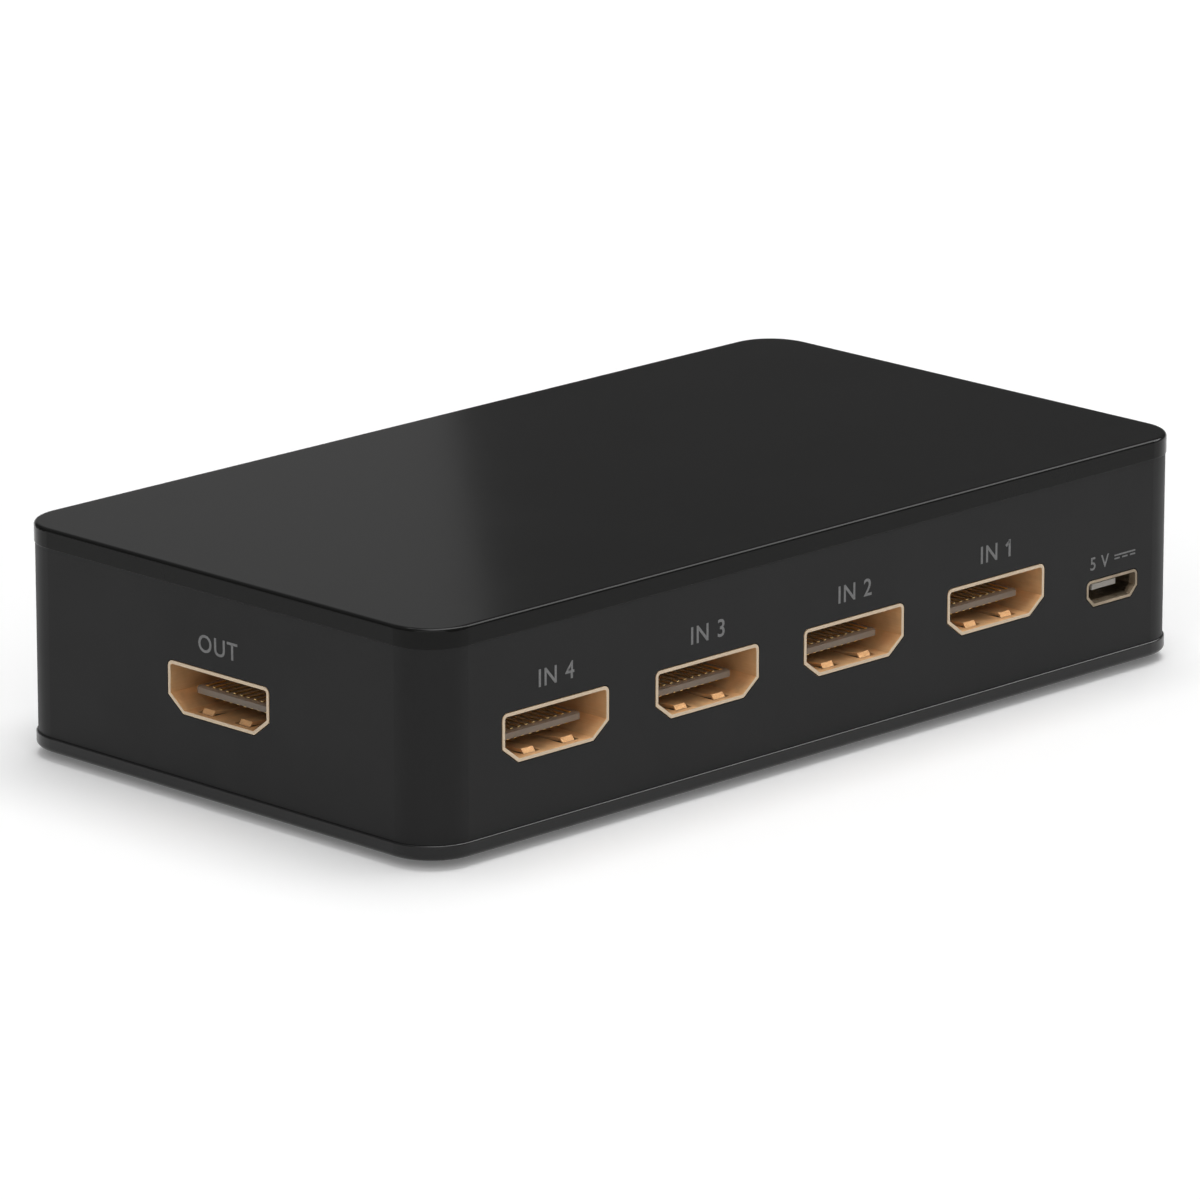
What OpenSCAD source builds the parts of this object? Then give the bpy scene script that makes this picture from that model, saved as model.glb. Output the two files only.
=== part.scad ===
// Video switch box: four input sockets and a power inlet on one long face, the output socket
// on a short face, and the select button, lights and remote window on the other long face.
// Lengths are in millimetres. X runs along the long side, the inputs face -Y, the output
// faces -X, the controls face +Y, and Z = 0 is the plane that the feet stand on.

/* [Housing] */
// Length of the side frame
case_length = 110.2; // [107:0.1:130]
// Width of the side frame
case_width = 60.5; // [57:0.1:80]
// Height of the side frame
frame_height = 19.8; // [18.5:0.1:30]
// Outer corner radius of the side frame
corner_radius = 5.1; // [4:0.1:6]
// Wall thickness of the side frame
wall = 2; // [1.6:0.1:2.4]
// Height of the top cover's edge
cover_edge = 2.1; // [1.6:0.1:3]
// Overhang of the top cover past the frame
cover_lip = 0.1; // [0.05:0.05:0.4]
// Rounding of the top cover's upper edge
cover_round = 0.4; // [0.2:0.05:0.8]
// Height of the base plate's edge
base_edge = 1.6; // [1.4:0.1:2.4]
// Overhang of the base plate past the frame
base_lip = 0.2; // [0.05:0.05:0.5]
// Rounding of the base plate's lower edge
base_round = 0.5; // [0.2:0.05:0.8]
// Rounding of the base plate's upper edge
base_edge_round = 0.2; // [0.1:0.05:0.4]
// Rounding of the top cover's lower edge
edge_break = 0.1; // [0.05:0.01:0.15]
// Thickness of the locating ribs inside the frame
rib = 1.2; // [0.8:0.1:1.6]
// Height of the locating ribs
rib_height = 2.2; // [1.5:0.1:3]
// Clearance between a locating rib and the frame
rib_gap = 0.15; // [0.05:0.05:0.25]

/* [Feet] */
// Diameter of a foot
foot_diameter = 8; // [6:0.1:9]
// Height of a foot below the base plate
foot_proud = 1; // [0.6:0.1:2]
// Depth of a foot's recess in the base plate
foot_recess = 0.5; // [0.3:0.05:0.8]
// Clearance round a foot in its recess
foot_gap = 0.1; // [0.05:0.05:0.3]
// Rounding of a foot's lower edge
foot_round = 0.4; // [0.2:0.05:0.6]
// Distance of a foot from the end of the frame
foot_inset_x = 15; // [13:0.5:25]
// Distance of a foot from the side of the frame
foot_inset_y = 7.8; // [6:0.1:12]

/* [Housing screws] */
// Distance of a case screw from the end of the frame
case_screw_inset_x = 5.9; // [5.6:0.1:6.4]
// Distance of a case screw from the side of the frame
case_screw_inset_y = 10.8; // [9:0.1:16]
// Core diameter of a case screw
case_screw_diameter = 2.6; // [2:0.1:3]
// Length of a case screw below its head
case_screw_length = 9; // [7:0.5:14]
// Head diameter of a case screw
case_head_diameter = 4.6; // [4:0.1:5]
// Head height of a case screw
case_head_height = 1.8; // [1.2:0.1:2.2]
// Diameter of a base plate pillar
pillar_diameter = 6.4; // [5.8:0.1:7]
// Height of a pillar above the base plate
pillar_height = 5.4; // [5:0.1:8]
// Thickness of a pillar's floor under the screw head
pillar_floor = 2; // [1.4:0.1:3]
// Diameter of a cover boss
boss_diameter = 6; // [5:0.1:6.6]
// Clearance between a screw and its clearance hole
screw_gap = 0.15; // [0.05:0.05:0.3]
// Clearance between a screw and its pilot hole
pilot_gap = 0.05; // [0.02:0.01:0.1]
// Clearance round a screw head in its counterbore
head_gap = 0.25; // [0.1:0.05:0.4]

/* [Board] */
// Thickness of the circuit board
board_thickness = 1.6; // [1:0.1:2]
// Height of the standoffs under the board
standoff_height = 4.1; // [3:0.1:5]
// Diameter of a standoff
standoff_diameter = 5.5; // [4.5:0.1:6.5]
// Clearance between the board and the frame
board_gap = 0.5; // [0.3:0.1:1]
// Corner radius of the board
board_radius = 2; // [1:0.1:3]
// Clearance round a pillar in the board's notch
notch_gap = 0.5; // [0.3:0.1:0.8]
// Core diameter of a board screw
board_screw_diameter = 2; // [1.6:0.1:2.4]
// Length of a board screw below its head
board_screw_length = 5; // [4:0.5:5.5]
// Head diameter of a board screw
board_head_diameter = 3.8; // [3.2:0.1:4.4]
// Head height of a board screw
board_head_height = 1.5; // [1:0.1:2]
// Distance of the front board screws from the inputs' face
front_screw_inset = 15; // [14:0.1:17]
// Distance of the rear board screws from the controls' face
rear_screw_inset = 11.5; // [10:0.1:14]
// Distance of a rear board screw from the middle
rear_screw_x = 29; // [27:0.5:31]

/* [Video sockets] */
// Width of a socket's opening
opening_width = 14; // [13:0.1:15]
// Height of a socket's opening
opening_height = 4.55; // [4.3:0.05:5]
// Height of the opening's straight sides
opening_side = 3.05; // [2.6:0.05:3.4]
// Inset of the opening's slanted lower corners
opening_inset = 1.95; // [1.5:0.05:2.4]
// Rounding of the opening's upper corners
opening_round = 0.3; // [0.1:0.05:0.6]
// Sheet thickness of a socket's shell
shell_sheet = 0.35; // [0.25:0.01:0.45]
// Depth of a socket's shell
shell_depth = 10; // [9:0.1:12]
// Height of a shell above the board
socket_stand = 0.9; // [0.4:0.05:1.5]
// Clearance between a shell and its window in the frame
window_gap = 0.1; // [0.05:0.05:0.3]
// Distance of the last input socket from the output's face
input_inset = 17.1; // [16.6:0.1:18]
// Distance of the first input socket from the plain end
row_inset = 29.26; // [28:0.01:31]
// Distance of the output socket from the middle of its face
output_offset = 0; // [-3:0.1:3]

/* [Socket springs and legs] */
// Distance of a floor spring from the middle of the socket
spring_offset = 2.7; // [2.2:0.1:3]
// Width of a floor spring
spring_width = 1.6; // [1.2:0.1:2.2]
// Length of a floor spring
spring_length = 4.5; // [3.5:0.1:5.5]
// Depth of a spring's free tip behind the mouth
spring_recess = 1; // [0.8:0.1:1.5]
// Length of a spring's curled nose
spring_nose = 0.35; // [0.3:0.05:1.2]
// Rise of a spring into the opening
spring_rise = 0.35; // [0.2:0.01:0.4]
// Depth of the spring's tip below the floor
spring_dip = 0.1; // [0:0.05:0.25]
// Slot round a spring
spring_slot = 0.35; // [0.2:0.05:0.5]
// Width of a shell's leg
leg_width = 1.4; // [1:0.1:1.8]
// Distance from the board's edge to the front legs
leg_inset = 1.6; // [1.4:0.1:2.2]
// Distance between the front and rear legs
leg_spacing = 5; // [4:0.1:5.5]
// Length of a leg below the board
leg_past = 0.6; // [0.3:0.1:1.2]
// Clearance round a leg in the board
leg_gap = 0.25; // [0.1:0.05:0.4]

/* [Socket tongue and contacts] */
// Width of the tongue
tongue_width = 10.9; // [10.4:0.1:11.4]
// Thickness of the tongue
tongue_thickness = 0.9; // [0.8:0.05:1.4]
// Thickness of the tongue at its tip
tip_thickness = 0.6; // [0.4:0.05:0.8]
// Length of the tongue's tapered tip
tip_length = 0.3; // [0.2:0.05:0.8]
// Depth of the tongue's tip behind the mouth
tongue_recess = 2.2; // [2.1:0.05:3]
// Drop of the tongue below the middle of the opening
tongue_drop = 0.6; // [0.2:0.05:0.8]
// Depth of the insulator's block behind the mouth
block_recess = 7.4; // [7:0.1:8.4]
// Thickness of the insulator's rear wall
rear_wall = 1.4; // [1:0.1:2]
// Clearance between the insulator and the shell
insulator_gap = 0.05; // [0.02:0.01:0.1]
// Number of contacts on the tongue's upper face
upper_contacts = 10; // [4:2:10]
// Number of contacts on the tongue's lower face
lower_contacts = 9; // [3:2:9]
// Distance between neighbouring contacts
contact_pitch = 1; // [0.9:0.01:1.05]
// Width of a contact
contact_width = 0.36; // [0.25:0.01:0.4]
// Thickness of a contact
contact_thickness = 0.2; // [0.15:0.01:0.25]
// Depth that a contact is sunk into the tongue
contact_sink = 0.1; // [0.05:0.01:0.14]
// Length of a contact's foot on the board
contact_foot = 0.9; // [0.6:0.1:1.2]

/* [Power inlet] */
// Distance of the inlet from the plain end
inlet_inset = 11.3; // [10:0.1:12.5]
// Width of the inlet's opening
inlet_width = 6.9; // [6.5:0.1:7.5]
// Height of the inlet's opening
inlet_height = 1.85; // [1.7:0.05:2.4]
// Height of the opening's straight sides
inlet_side = 1.1; // [0.8:0.05:1.4]
// Inset of the opening's slanted lower corners
inlet_slant = 0.75; // [0.5:0.05:1]
// Rounding of the opening's upper corners
inlet_round = 0.15; // [0.05:0.05:0.3]
// Sheet thickness of the inlet's shell
inlet_sheet = 0.3; // [0.2:0.01:0.35]
// Depth of the inlet's shell
inlet_depth = 5.6; // [5.4:0.1:6.5]
// Height of the inlet's shell above the board
inlet_stand = 0.1; // [0.05:0.05:0.5]
// Spread of the inlet's flared mouth
inlet_flare = 0.2; // [0.1:0.05:0.3]
// Length of the inlet's flared mouth
inlet_flare_length = 0.7; // [0.4:0.05:1]
// Width of the inlet's tongue
inlet_tongue_width = 3.7; // [3.4:0.1:4.2]
// Thickness of the inlet's tongue
inlet_tongue_thickness = 0.6; // [0.5:0.05:0.7]
// Rise of the inlet's tongue above the middle of the opening
inlet_tongue_rise = 0.25; // [0.1:0.05:0.4]
// Depth of the inlet's tongue behind the mouth
inlet_tongue_recess = 1.2; // [0.8:0.1:1.8]
// Depth of the inlet's insulator block behind the mouth
inlet_block_recess = 4.3; // [4:0.1:4.8]
// Thickness of the inlet insulator's rear wall
inlet_rear_wall = 0.7; // [0.5:0.1:1]
// Number of the inlet's contacts
inlet_contacts = 5; // [3:1:5]
// Distance between the inlet's contacts
inlet_contact_pitch = 0.65; // [0.6:0.01:0.75]

/* [Select button and switch] */
// Height of the controls above the board
control_rise = 4.6; // [4.4:0.1:5.4]
// Distance of the button from the output's face
button_inset = 17; // [14:0.5:22]
// Diameter of the button
button_diameter = 6.6; // [5:0.1:7]
// Height of the button outside the frame
button_proud = 1; // [0.5:0.1:1.2]
// Rounding of the button's face
button_round = 0.5; // [0.2:0.05:0.8]
// Clearance round the button in the frame
button_gap = 0.1; // [0.05:0.01:0.2]
// Overhang of the button's flange behind the wall
button_flange = 0.8; // [0.5:0.1:1]
// Thickness of the button's flange
button_flange_thickness = 1; // [0.6:0.1:1.4]
// Diameter of the pusher behind the button
pusher_diameter = 2.6; // [2:0.1:3.2]
// Length of the pusher behind the button
pusher_length = 1; // [0.6:0.1:1.6]
// Travel of the button
button_travel = 0.3; // [0.2:0.05:0.5]
// Play between the pusher and the switch's stem
stem_play = 0.02; // [0.01:0.01:0.05]
// Diameter of the switch's stem
stem_diameter = 3.4; // [3:0.1:3.8]
// Length of the stem outside the switch
stem_length = 1.6; // [1:0.1:2.5]
// Diameter of the stem's flange inside the switch
stem_flange = 4.4; // [4.2:0.1:4.6]
// Thickness of the stem's flange
stem_flange_thickness = 0.8; // [0.5:0.1:1]
// Clearance round the stem and its flange
stem_gap = 0.1; // [0.05:0.01:0.2]
// Side of the switch's square case
switch_side = 6; // [5.6:0.1:6.4]
// Thickness of the switch's case behind its well
switch_floor = 1; // [0.6:0.1:2]
// Sheet thickness of the switch's bracket
bracket_sheet = 0.3; // [0.2:0.05:0.4]
// Width of a bracket leg
bracket_leg = 1; // [0.8:0.1:1.4]
// Thickness of the snap dome
dome_thickness = 0.1; // [0.06:0.01:0.15]

/* [Remote window and lights] */
// Distance of the remote window from the plain end
window_inset = 17; // [14:0.5:22]
// Diameter of the remote window
window_diameter = 6; // [5:0.1:7]
// Height of the remote window outside the frame
window_proud = 0.2; // [0.1:0.05:0.4]
// Overhang of the window's flange behind the wall
window_flange = 0.7; // [0.4:0.1:1]
// Thickness of the window's flange
window_flange_thickness = 0.6; // [0.4:0.1:1]
// Clearance round the window and the lights in the frame
lens_gap = 0.08; // [0.04:0.01:0.2]
// Radius of the receiver's lens
receiver_lens = 2.4; // [2:0.1:2.8]
// Clearance between the receiver's lens and the window
receiver_gap = 0.2; // [0.1:0.05:0.5]
// Width of the receiver's body
receiver_width = 6.8; // [6:0.1:7.5]
// Height of the receiver's body
receiver_height = 7; // [6:0.1:7.6]
// Thickness of the receiver's body
receiver_thickness = 3; // [2.4:0.1:4]
// Diameter of a light's lens
light_diameter = 3; // [2.4:0.1:3.4]
// Overhang of a light's collar
light_collar = 0.4; // [0.2:0.05:0.6]
// Thickness of a light's collar
light_collar_thickness = 0.8; // [0.5:0.1:1.2]
// Length of a light from its tip to its base
light_length = 4.6; // [4:0.1:6]
// Height of a light's tip outside the frame
light_proud = 0.5; // [0.3:0.1:0.8]
// Distance between neighbouring lights
light_pitch = 8; // [6:0.1:9]
// Distance between a light's two leads
lead_pitch = 2.54; // [2:0.01:2.54]
// Thickness of a lead
lead_thickness = 0.5; // [0.4:0.05:0.6]
// Length of a lead from a light's base to its bend
lead_run = 1.5; // [1:0.1:2.5]
// Length of a lead below the board
lead_past = 1; // [0.6:0.1:1.5]
// Clearance round a lead in the board
lead_gap = 0.1; // [0.05:0.05:0.2]

/* [Board parts] */
// Place of the switching chip on the board
switch_chip_at = [3, 1]; // [-10:0.5:10]
// Distances of the control chip from the output's face and the controls' face
control_chip_inset = [33.1, 25.2]; // [22:0.1:38]
// Distances of the voltage regulator from the plain end and the inputs' face
regulator_inset = [17.1, 20.2]; // [16:0.1:24]
// Place of the crystal on the board
crystal_at = [-8, 14]; // [-10:0.5:14]
// Side of the switching chip
switch_chip_side = 10; // [8:0.5:12]
// Distance between the switching chip's leads
switch_chip_pitch = 0.5; // [0.4:0.01:0.5]
// Width of the control chip
control_chip_width = 3.9; // [3.6:0.1:4.4]
// Distance between the control chip's leads
control_chip_pitch = 1.27; // [1:0.01:1.27]
// Length of the voltage regulator
regulator_length = 6.5; // [6:0.1:7]
// Width of the voltage regulator
regulator_width = 3.5; // [3:0.1:4]
// Distance between the regulator's leads
regulator_pitch = 2.3; // [2:0.1:2.4]
// Width of the regulator's cooling tab
regulator_tab = 3; // [2.6:0.1:3.4]
// Length of the crystal's can
crystal_length = 10.2; // [8:0.1:11]
// Width of the crystal's can
crystal_width = 3.8; // [3:0.1:4.4]
// Height of the crystal's can
crystal_height = 3.5; // [2.5:0.1:4]
// Overhang of the crystal's flange
crystal_lip = 0.4; // [0.2:0.05:0.6]
// Thickness of the crystal's flange
crystal_flange = 0.6; // [0.4:0.1:0.8]
// Thickness of a chip
chip_thickness = 1.4; // [1:0.1:1.8]
// Height of a chip above the board
chip_stand = 0.1; // [0.05:0.01:0.2]
// Width of a chip's lead
chip_lead_width = 0.24; // [0.2:0.01:0.3]
// Reach of a chip's leads
chip_lead_reach = 1; // [0.8:0.1:1.2]
// Diameter of a filter capacitor
can_diameter = 5; // [4:0.1:6]
// Height of a filter capacitor
can_height = 5.4; // [4:0.1:7]
// Distance between the filter capacitors
can_pitch = 8; // [7:0.1:10]
// Place of the first filter capacitor from the regulator
can_offset = [7.2, 3.2]; // [3:0.1:8]
// Length of a chip resistor or chip capacitor
small_part_length = 1.6; // [1:0.1:1.8]
// Width of a chip resistor or chip capacitor
small_part_width = 0.8; // [0.5:0.1:0.9]
// Length of a line guard
guard_length = 1; // [0.8:0.1:1.2]
// Width of a line guard
guard_width = 2; // [1.6:0.1:2.2]
// Distance between neighbours in a row of small parts
row_pitch = 2.5; // [2.3:0.1:2.7]
// Thickness of a line guard
guard_thickness = 0.6; // [0.4:0.1:0.8]
// Distance between the rows of small parts behind a socket
row_gap = 0.8; // [0.5:0.1:1.2]

/* [Hidden] */
$fn = 64;

// Length by which a cutter passes the face that it cuts
over = 0.5;
// Length by which a joined feature runs into its neighbour
lap = 0.3;
// Number of input sockets
inputs = 4;

// Heights of the stack, from the floor up
base_z = foot_proud;
frame_z = base_z + base_edge;
cover_z = frame_z + frame_height;
top_z = cover_z + cover_edge;
board_z = frame_z + standoff_height;
board_top = board_z + board_thickness;
socket_z = board_top + socket_stand + shell_sheet + opening_height / 2;
inlet_z = board_top + inlet_stand + inlet_sheet + inlet_height / 2;
control_z = board_top + control_rise;
pillar_top = frame_z + pillar_height;
seat_z = pillar_top - pillar_floor;

// Plan of the housing
half_length = case_length / 2;
half_width = case_width / 2;
socket_pitch = (case_length - input_inset - row_inset) / (inputs - 1);
inner_length = case_length - 2 * wall;
inner_width = case_width - 2 * wall;
inner_radius = corner_radius - wall;
board_edge = wall + board_gap;

// Levels and depths inside a video socket, from the middle of its mouth
board_drop = board_top - socket_z;
leg_drop = board_z - leg_past - socket_z;
opening_floor = -opening_height / 2;
tongue_top = tongue_thickness / 2 - tongue_drop;
tongue_bottom = -tongue_thickness / 2 - tongue_drop;
contact_front = tongue_recess + tip_length + lap / 2;
socket_back = shell_depth + rear_wall;
socket_end = socket_back + contact_foot;

// Levels and depths inside the power inlet, from the middle of its mouth
inlet_drop = board_top - inlet_z;
inlet_leg_drop = board_z - leg_past - inlet_z;
inlet_tongue_bottom = inlet_tongue_rise - inlet_tongue_thickness / 2;
inlet_back = inlet_depth + inlet_rear_wall;
inlet_contact_front = inlet_tongue_recess + lap;
// Walls of the inlet's opening: the turn of each from the upper one, and its distance from the middle
inlet_slant_angle = atan(inlet_slant / (inlet_height - inlet_side));
inlet_slant_reach = inlet_width / 2 * cos(inlet_slant_angle)
    - (inlet_height / 2 - inlet_side) * sin(inlet_slant_angle);
inlet_walls = [
    [0, inlet_height / 2], [180, inlet_height / 2], [90, inlet_width / 2], [-90, inlet_width / 2],
    [90 + inlet_slant_angle, inlet_slant_reach], [-90 - inlet_slant_angle, inlet_slant_reach]
];

// Depths of the controls behind the outer face of the frame
pusher_end = wall + button_flange_thickness + pusher_length;
stem_tip = pusher_end + stem_play;
bracket_front = stem_tip + stem_length;
switch_front = bracket_front + bracket_sheet;
dome_height = 2 * button_travel;
well_floor = switch_front + stem_flange_thickness + dome_height + stem_play;
switch_back = well_floor + switch_floor;
well_diameter = stem_flange + 2 * stem_gap;
receiver_front = wall + window_flange_thickness + receiver_gap + receiver_lens;
receiver_middle = receiver_front + receiver_thickness / 2;
light_base = light_length - light_proud;
lead_bend = light_base + lead_run;
board_drop_at_controls = board_top - control_z;
lead_drop = board_z - lead_past - control_z;
lead_hole = lead_thickness * sqrt(2) + 2 * lead_gap;

// Outline of a plate with round corners
module rounded_outline(length, width, radius) {
    square([length - 2 * radius, width], center = true);
    square([length, width - 2 * radius], center = true);
    for (sx = [-1, 1], sy = [-1, 1])
        translate([sx * (length / 2 - radius), sy * (width / 2 - radius)])
            circle(radius);
}

// Plate of the housing: the frame's outline grown by a lip
module housing_plate(lip, height) {
    linear_extrude(height)
        rounded_outline(case_length + 2 * lip, case_width + 2 * lip, corner_radius + lip);
}

// Sweeps a profile round the frame's outline grown by a lip: profile x is outward, y is up
module around_housing(lip) {
    radius = corner_radius + lip;
    for (side = [0:3]) {
        run = (side % 2 == 0 ? case_length : case_width) + 2 * lip;
        reach = (side % 2 == 0 ? case_width : case_length) + 2 * lip;
        rotate(90 * side) {
            translate([radius - run / 2, reach / 2, 0])
                rotate([90, 0, 90])
                    linear_extrude(run - 2 * radius) children();
            translate([run / 2 - radius, reach / 2 - radius, 0])
                rotate_extrude(angle = 90)
                    translate([radius, 0]) children();
        }
    }
}

// What is cut from a square corner at the origin to round it; the body lies at -x, -y
module corner_waste(radius) {
    difference() {
        translate([-radius, -radius]) square(radius + over);
        translate([-radius, -radius]) circle(radius);
    }
}

// Ring that locates a plate inside the frame
module locating_rib() {
    outer_length = inner_length - 2 * rib_gap;
    outer_width = inner_width - 2 * rib_gap;
    outer_radius = inner_radius - rib_gap;
    linear_extrude(rib_height + lap)
        difference() {
            rounded_outline(outer_length, outer_width, outer_radius);
            rounded_outline(outer_length - 2 * rib, outer_width - 2 * rib, outer_radius - rib);
        }
}

// Extrudes an outline, seen from outside a face, from one depth to another behind the face
module depth_extrude(from, to) {
    translate([0, to, 0])
        rotate([90, 0, 0])
            linear_extrude(to - from) children();
}

// Extrudes a section drawn as depth and height over a width, centred
module across(width) {
    rotate([90, 0, 90])
        linear_extrude(width, center = true) children();
}

// Revolves a profile drawn as radius and depth about an axis square to the face
module revolve() {
    rotate([-90, 0, 0])
        rotate_extrude() children();
}

// Round bar along the depth
module depth_rod(diameter, from, to) {
    translate([0, from, 0])
        rotate([-90, 0, 0])
            cylinder(d = diameter, h = to - from);
}

// Places children at the middle of an input socket's mouth; depth is +y there
module at_input(number) {
    translate([input_inset - half_length + (inputs - number) * socket_pitch, -half_width, socket_z])
        children();
}

// Places children at the middle of the output socket's mouth
module at_output() {
    translate([-half_length, output_offset, socket_z])
        rotate(-90) children();
}

// Places children at every video socket
module at_sockets() {
    for (number = [1:inputs])
        at_input(number) children();
    at_output() children();
}

// Places children at the middle of the power inlet's mouth
module at_inlet() {
    translate([half_length - inlet_inset, -half_width, inlet_z]) children();
}

// Places children on the controls' face
module at_control(x) {
    translate([x, half_width, control_z])
        rotate(180) children();
}

module at_button() at_control(button_inset - half_length) children();

module at_window() at_control(half_length - window_inset) children();

// Light 0 is the power light, and the others follow the inputs' numbers
module at_light(number) at_control((inputs / 2 - number) * light_pitch) children();

module at_lights() {
    for (number = [0:inputs])
        at_light(number) children();
}

module at_feet() {
    for (sx = [-1, 1], sy = [-1, 1])
        translate([sx * (half_length - foot_inset_x), sy * (half_width - foot_inset_y), 0])
            children();
}

module at_regulator() {
    translate([half_length - regulator_inset.x, regulator_inset.y - half_width, board_top]) children();
}

module at_case_screws() {
    for (sx = [-1, 1], sy = [-1, 1])
        translate([sx * (half_length - case_screw_inset_x), sy * (half_width - case_screw_inset_y), 0])
            children();
}

// The front board screws stand behind the row, half a pitch from each end of it
module at_board_screws() {
    for (step = [0.5, inputs - 1.5])
        translate([input_inset - half_length + step * socket_pitch, front_screw_inset - half_width, 0])
            children();
    for (sx = [-1, 1])
        translate([sx * rear_screw_x, half_width - rear_screw_inset, 0])
            children();
}

// Opening with straight sides and slanted lower corners, grown outwards by a wall
module opening_outline(width, height, side, inset, round, grow) {
    slant = atan(inset / (height - side));
    half = width / 2 + grow;
    top = height / 2 + grow;
    knee = height / 2 - side - grow * tan(slant / 2);
    toe = width / 2 - inset + grow * tan(45 - slant / 2);
    difference() {
        polygon([[-half, knee], [-half, top], [half, top], [half, knee], [toe, -top], [-toe, -top]]);
        for (flip = [0, 1])
            mirror([flip, 0])
                translate([half, top]) corner_waste(round + grow);
    }
}

module socket_outline(grow) {
    opening_outline(opening_width, opening_height, opening_side, opening_inset, opening_round, grow);
}

module inlet_outline(grow) {
    opening_outline(inlet_width, inlet_height, inlet_side, inlet_slant, inlet_round, grow);
}

// Top cover with its locating rib and the bosses that the case screws pull on
module top_cover() {
    pilot_depth = case_screw_length - pillar_floor + lap;
    color("#2a2a2a")
        difference() {
            union() {
                translate([0, 0, cover_z]) housing_plate(cover_lip, cover_edge);
                translate([0, 0, cover_z - rib_height]) locating_rib();
                at_case_screws()
                    translate([0, 0, pillar_top])
                        cylinder(d = boss_diameter, h = cover_z - pillar_top + lap);
            }
            around_housing(cover_lip) {
                translate([0, top_z]) corner_waste(cover_round);
                translate([0, cover_z])
                    mirror([0, 1]) corner_waste(edge_break);
            }
            at_case_screws()
                translate([0, 0, pillar_top - over])
                    cylinder(d = case_screw_diameter + 2 * pilot_gap, h = pilot_depth + over);
        }
}

// Side frame: one ring of wall with a window for each socket, light and control
module side_frame() {
    color("#323232")
        difference() {
            translate([0, 0, frame_z]) housing_plate(0, frame_height);
            translate([0, 0, frame_z - over])
                linear_extrude(frame_height + 2 * over)
                    rounded_outline(inner_length, inner_width, inner_radius);
            at_sockets()
                depth_extrude(-over, wall + over) socket_outline(shell_sheet + window_gap);
            at_inlet()
                depth_extrude(-over, wall + over) inlet_outline(inlet_sheet + inlet_flare + window_gap);
            at_button() depth_rod(button_diameter + 2 * button_gap, -over, wall + over);
            at_window() depth_rod(window_diameter + 2 * lens_gap, -over, wall + over);
            at_lights() depth_rod(light_diameter + 2 * lens_gap, -over, wall + over);
        }
}

// Base plate with its rib, the screw pillars and the standoffs under the board
module base_plate() {
    color("#2c2c2c")
        difference() {
            union() {
                translate([0, 0, base_z]) housing_plate(base_lip, base_edge);
                translate([0, 0, frame_z - lap]) locating_rib();
                at_case_screws()
                    translate([0, 0, frame_z - lap])
                        cylinder(d = pillar_diameter, h = pillar_height + lap);
                at_board_screws()
                    translate([0, 0, frame_z - lap])
                        cylinder(d = standoff_diameter, h = standoff_height + lap);
            }
            around_housing(base_lip) {
                translate([0, frame_z]) corner_waste(base_edge_round);
                translate([0, base_z])
                    mirror([0, 1]) corner_waste(base_round);
            }
            at_case_screws() {
                translate([0, 0, base_z - over])
                    cylinder(d = case_head_diameter + 2 * head_gap, h = seat_z - base_z + over);
                translate([0, 0, base_z])
                    cylinder(d = case_screw_diameter + 2 * screw_gap, h = pillar_top - base_z + over);
            }
            at_board_screws()
                translate([0, 0, board_top - board_screw_length - lap])
                    cylinder(d = board_screw_diameter + 2 * pilot_gap, h = board_screw_length + over);
            at_feet()
                translate([0, 0, base_z - over])
                    cylinder(d = foot_diameter + 2 * foot_gap, h = foot_recess + over);
        }
}

module rubber_feet() {
    radius = foot_diameter / 2;
    color("#1c1c1c")
        at_feet()
            rotate_extrude()
                difference() {
                    square([radius, foot_proud + foot_recess]);
                    translate([radius, 0])
                        mirror([0, 1]) corner_waste(foot_round);
                }
}

// Pan head screw standing on its seat at z = 0, head down, with a cross recess in the head
module pan_screw(diameter, length, head_diameter, head_height) {
    edge = head_height / 3;
    slot_width = head_diameter / 7;
    slot_length = head_diameter * 0.6;
    slot_depth = head_height / 2;
    point = diameter / 2;
    difference() {
        rotate_extrude()
            difference() {
                translate([0, -head_height]) square([head_diameter / 2, head_height]);
                translate([head_diameter / 2, -head_height])
                    mirror([0, 1]) corner_waste(edge);
            }
        for (turn = [0, 90])
            rotate(turn)
                translate([-slot_length / 2, -slot_width / 2, -head_height - over])
                    cube([slot_length, slot_width, slot_depth + over]);
    }
    translate([0, 0, -slot_depth / 2])
        cylinder(d = diameter, h = length - point + slot_depth / 2);
    translate([0, 0, length - point])
        cylinder(d1 = diameter, d2 = diameter / 3, h = point);
}

module case_screws() {
    color("silver")
        at_case_screws()
            translate([0, 0, seat_z])
                pan_screw(case_screw_diameter, case_screw_length, case_head_diameter, case_head_height);
}

module board_screws() {
    color("silver")
        at_board_screws()
            translate([0, 0, board_top])
                rotate([180, 0, 0])
                    pan_screw(board_screw_diameter, board_screw_length,
                              board_head_diameter, board_head_height);
}

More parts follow.
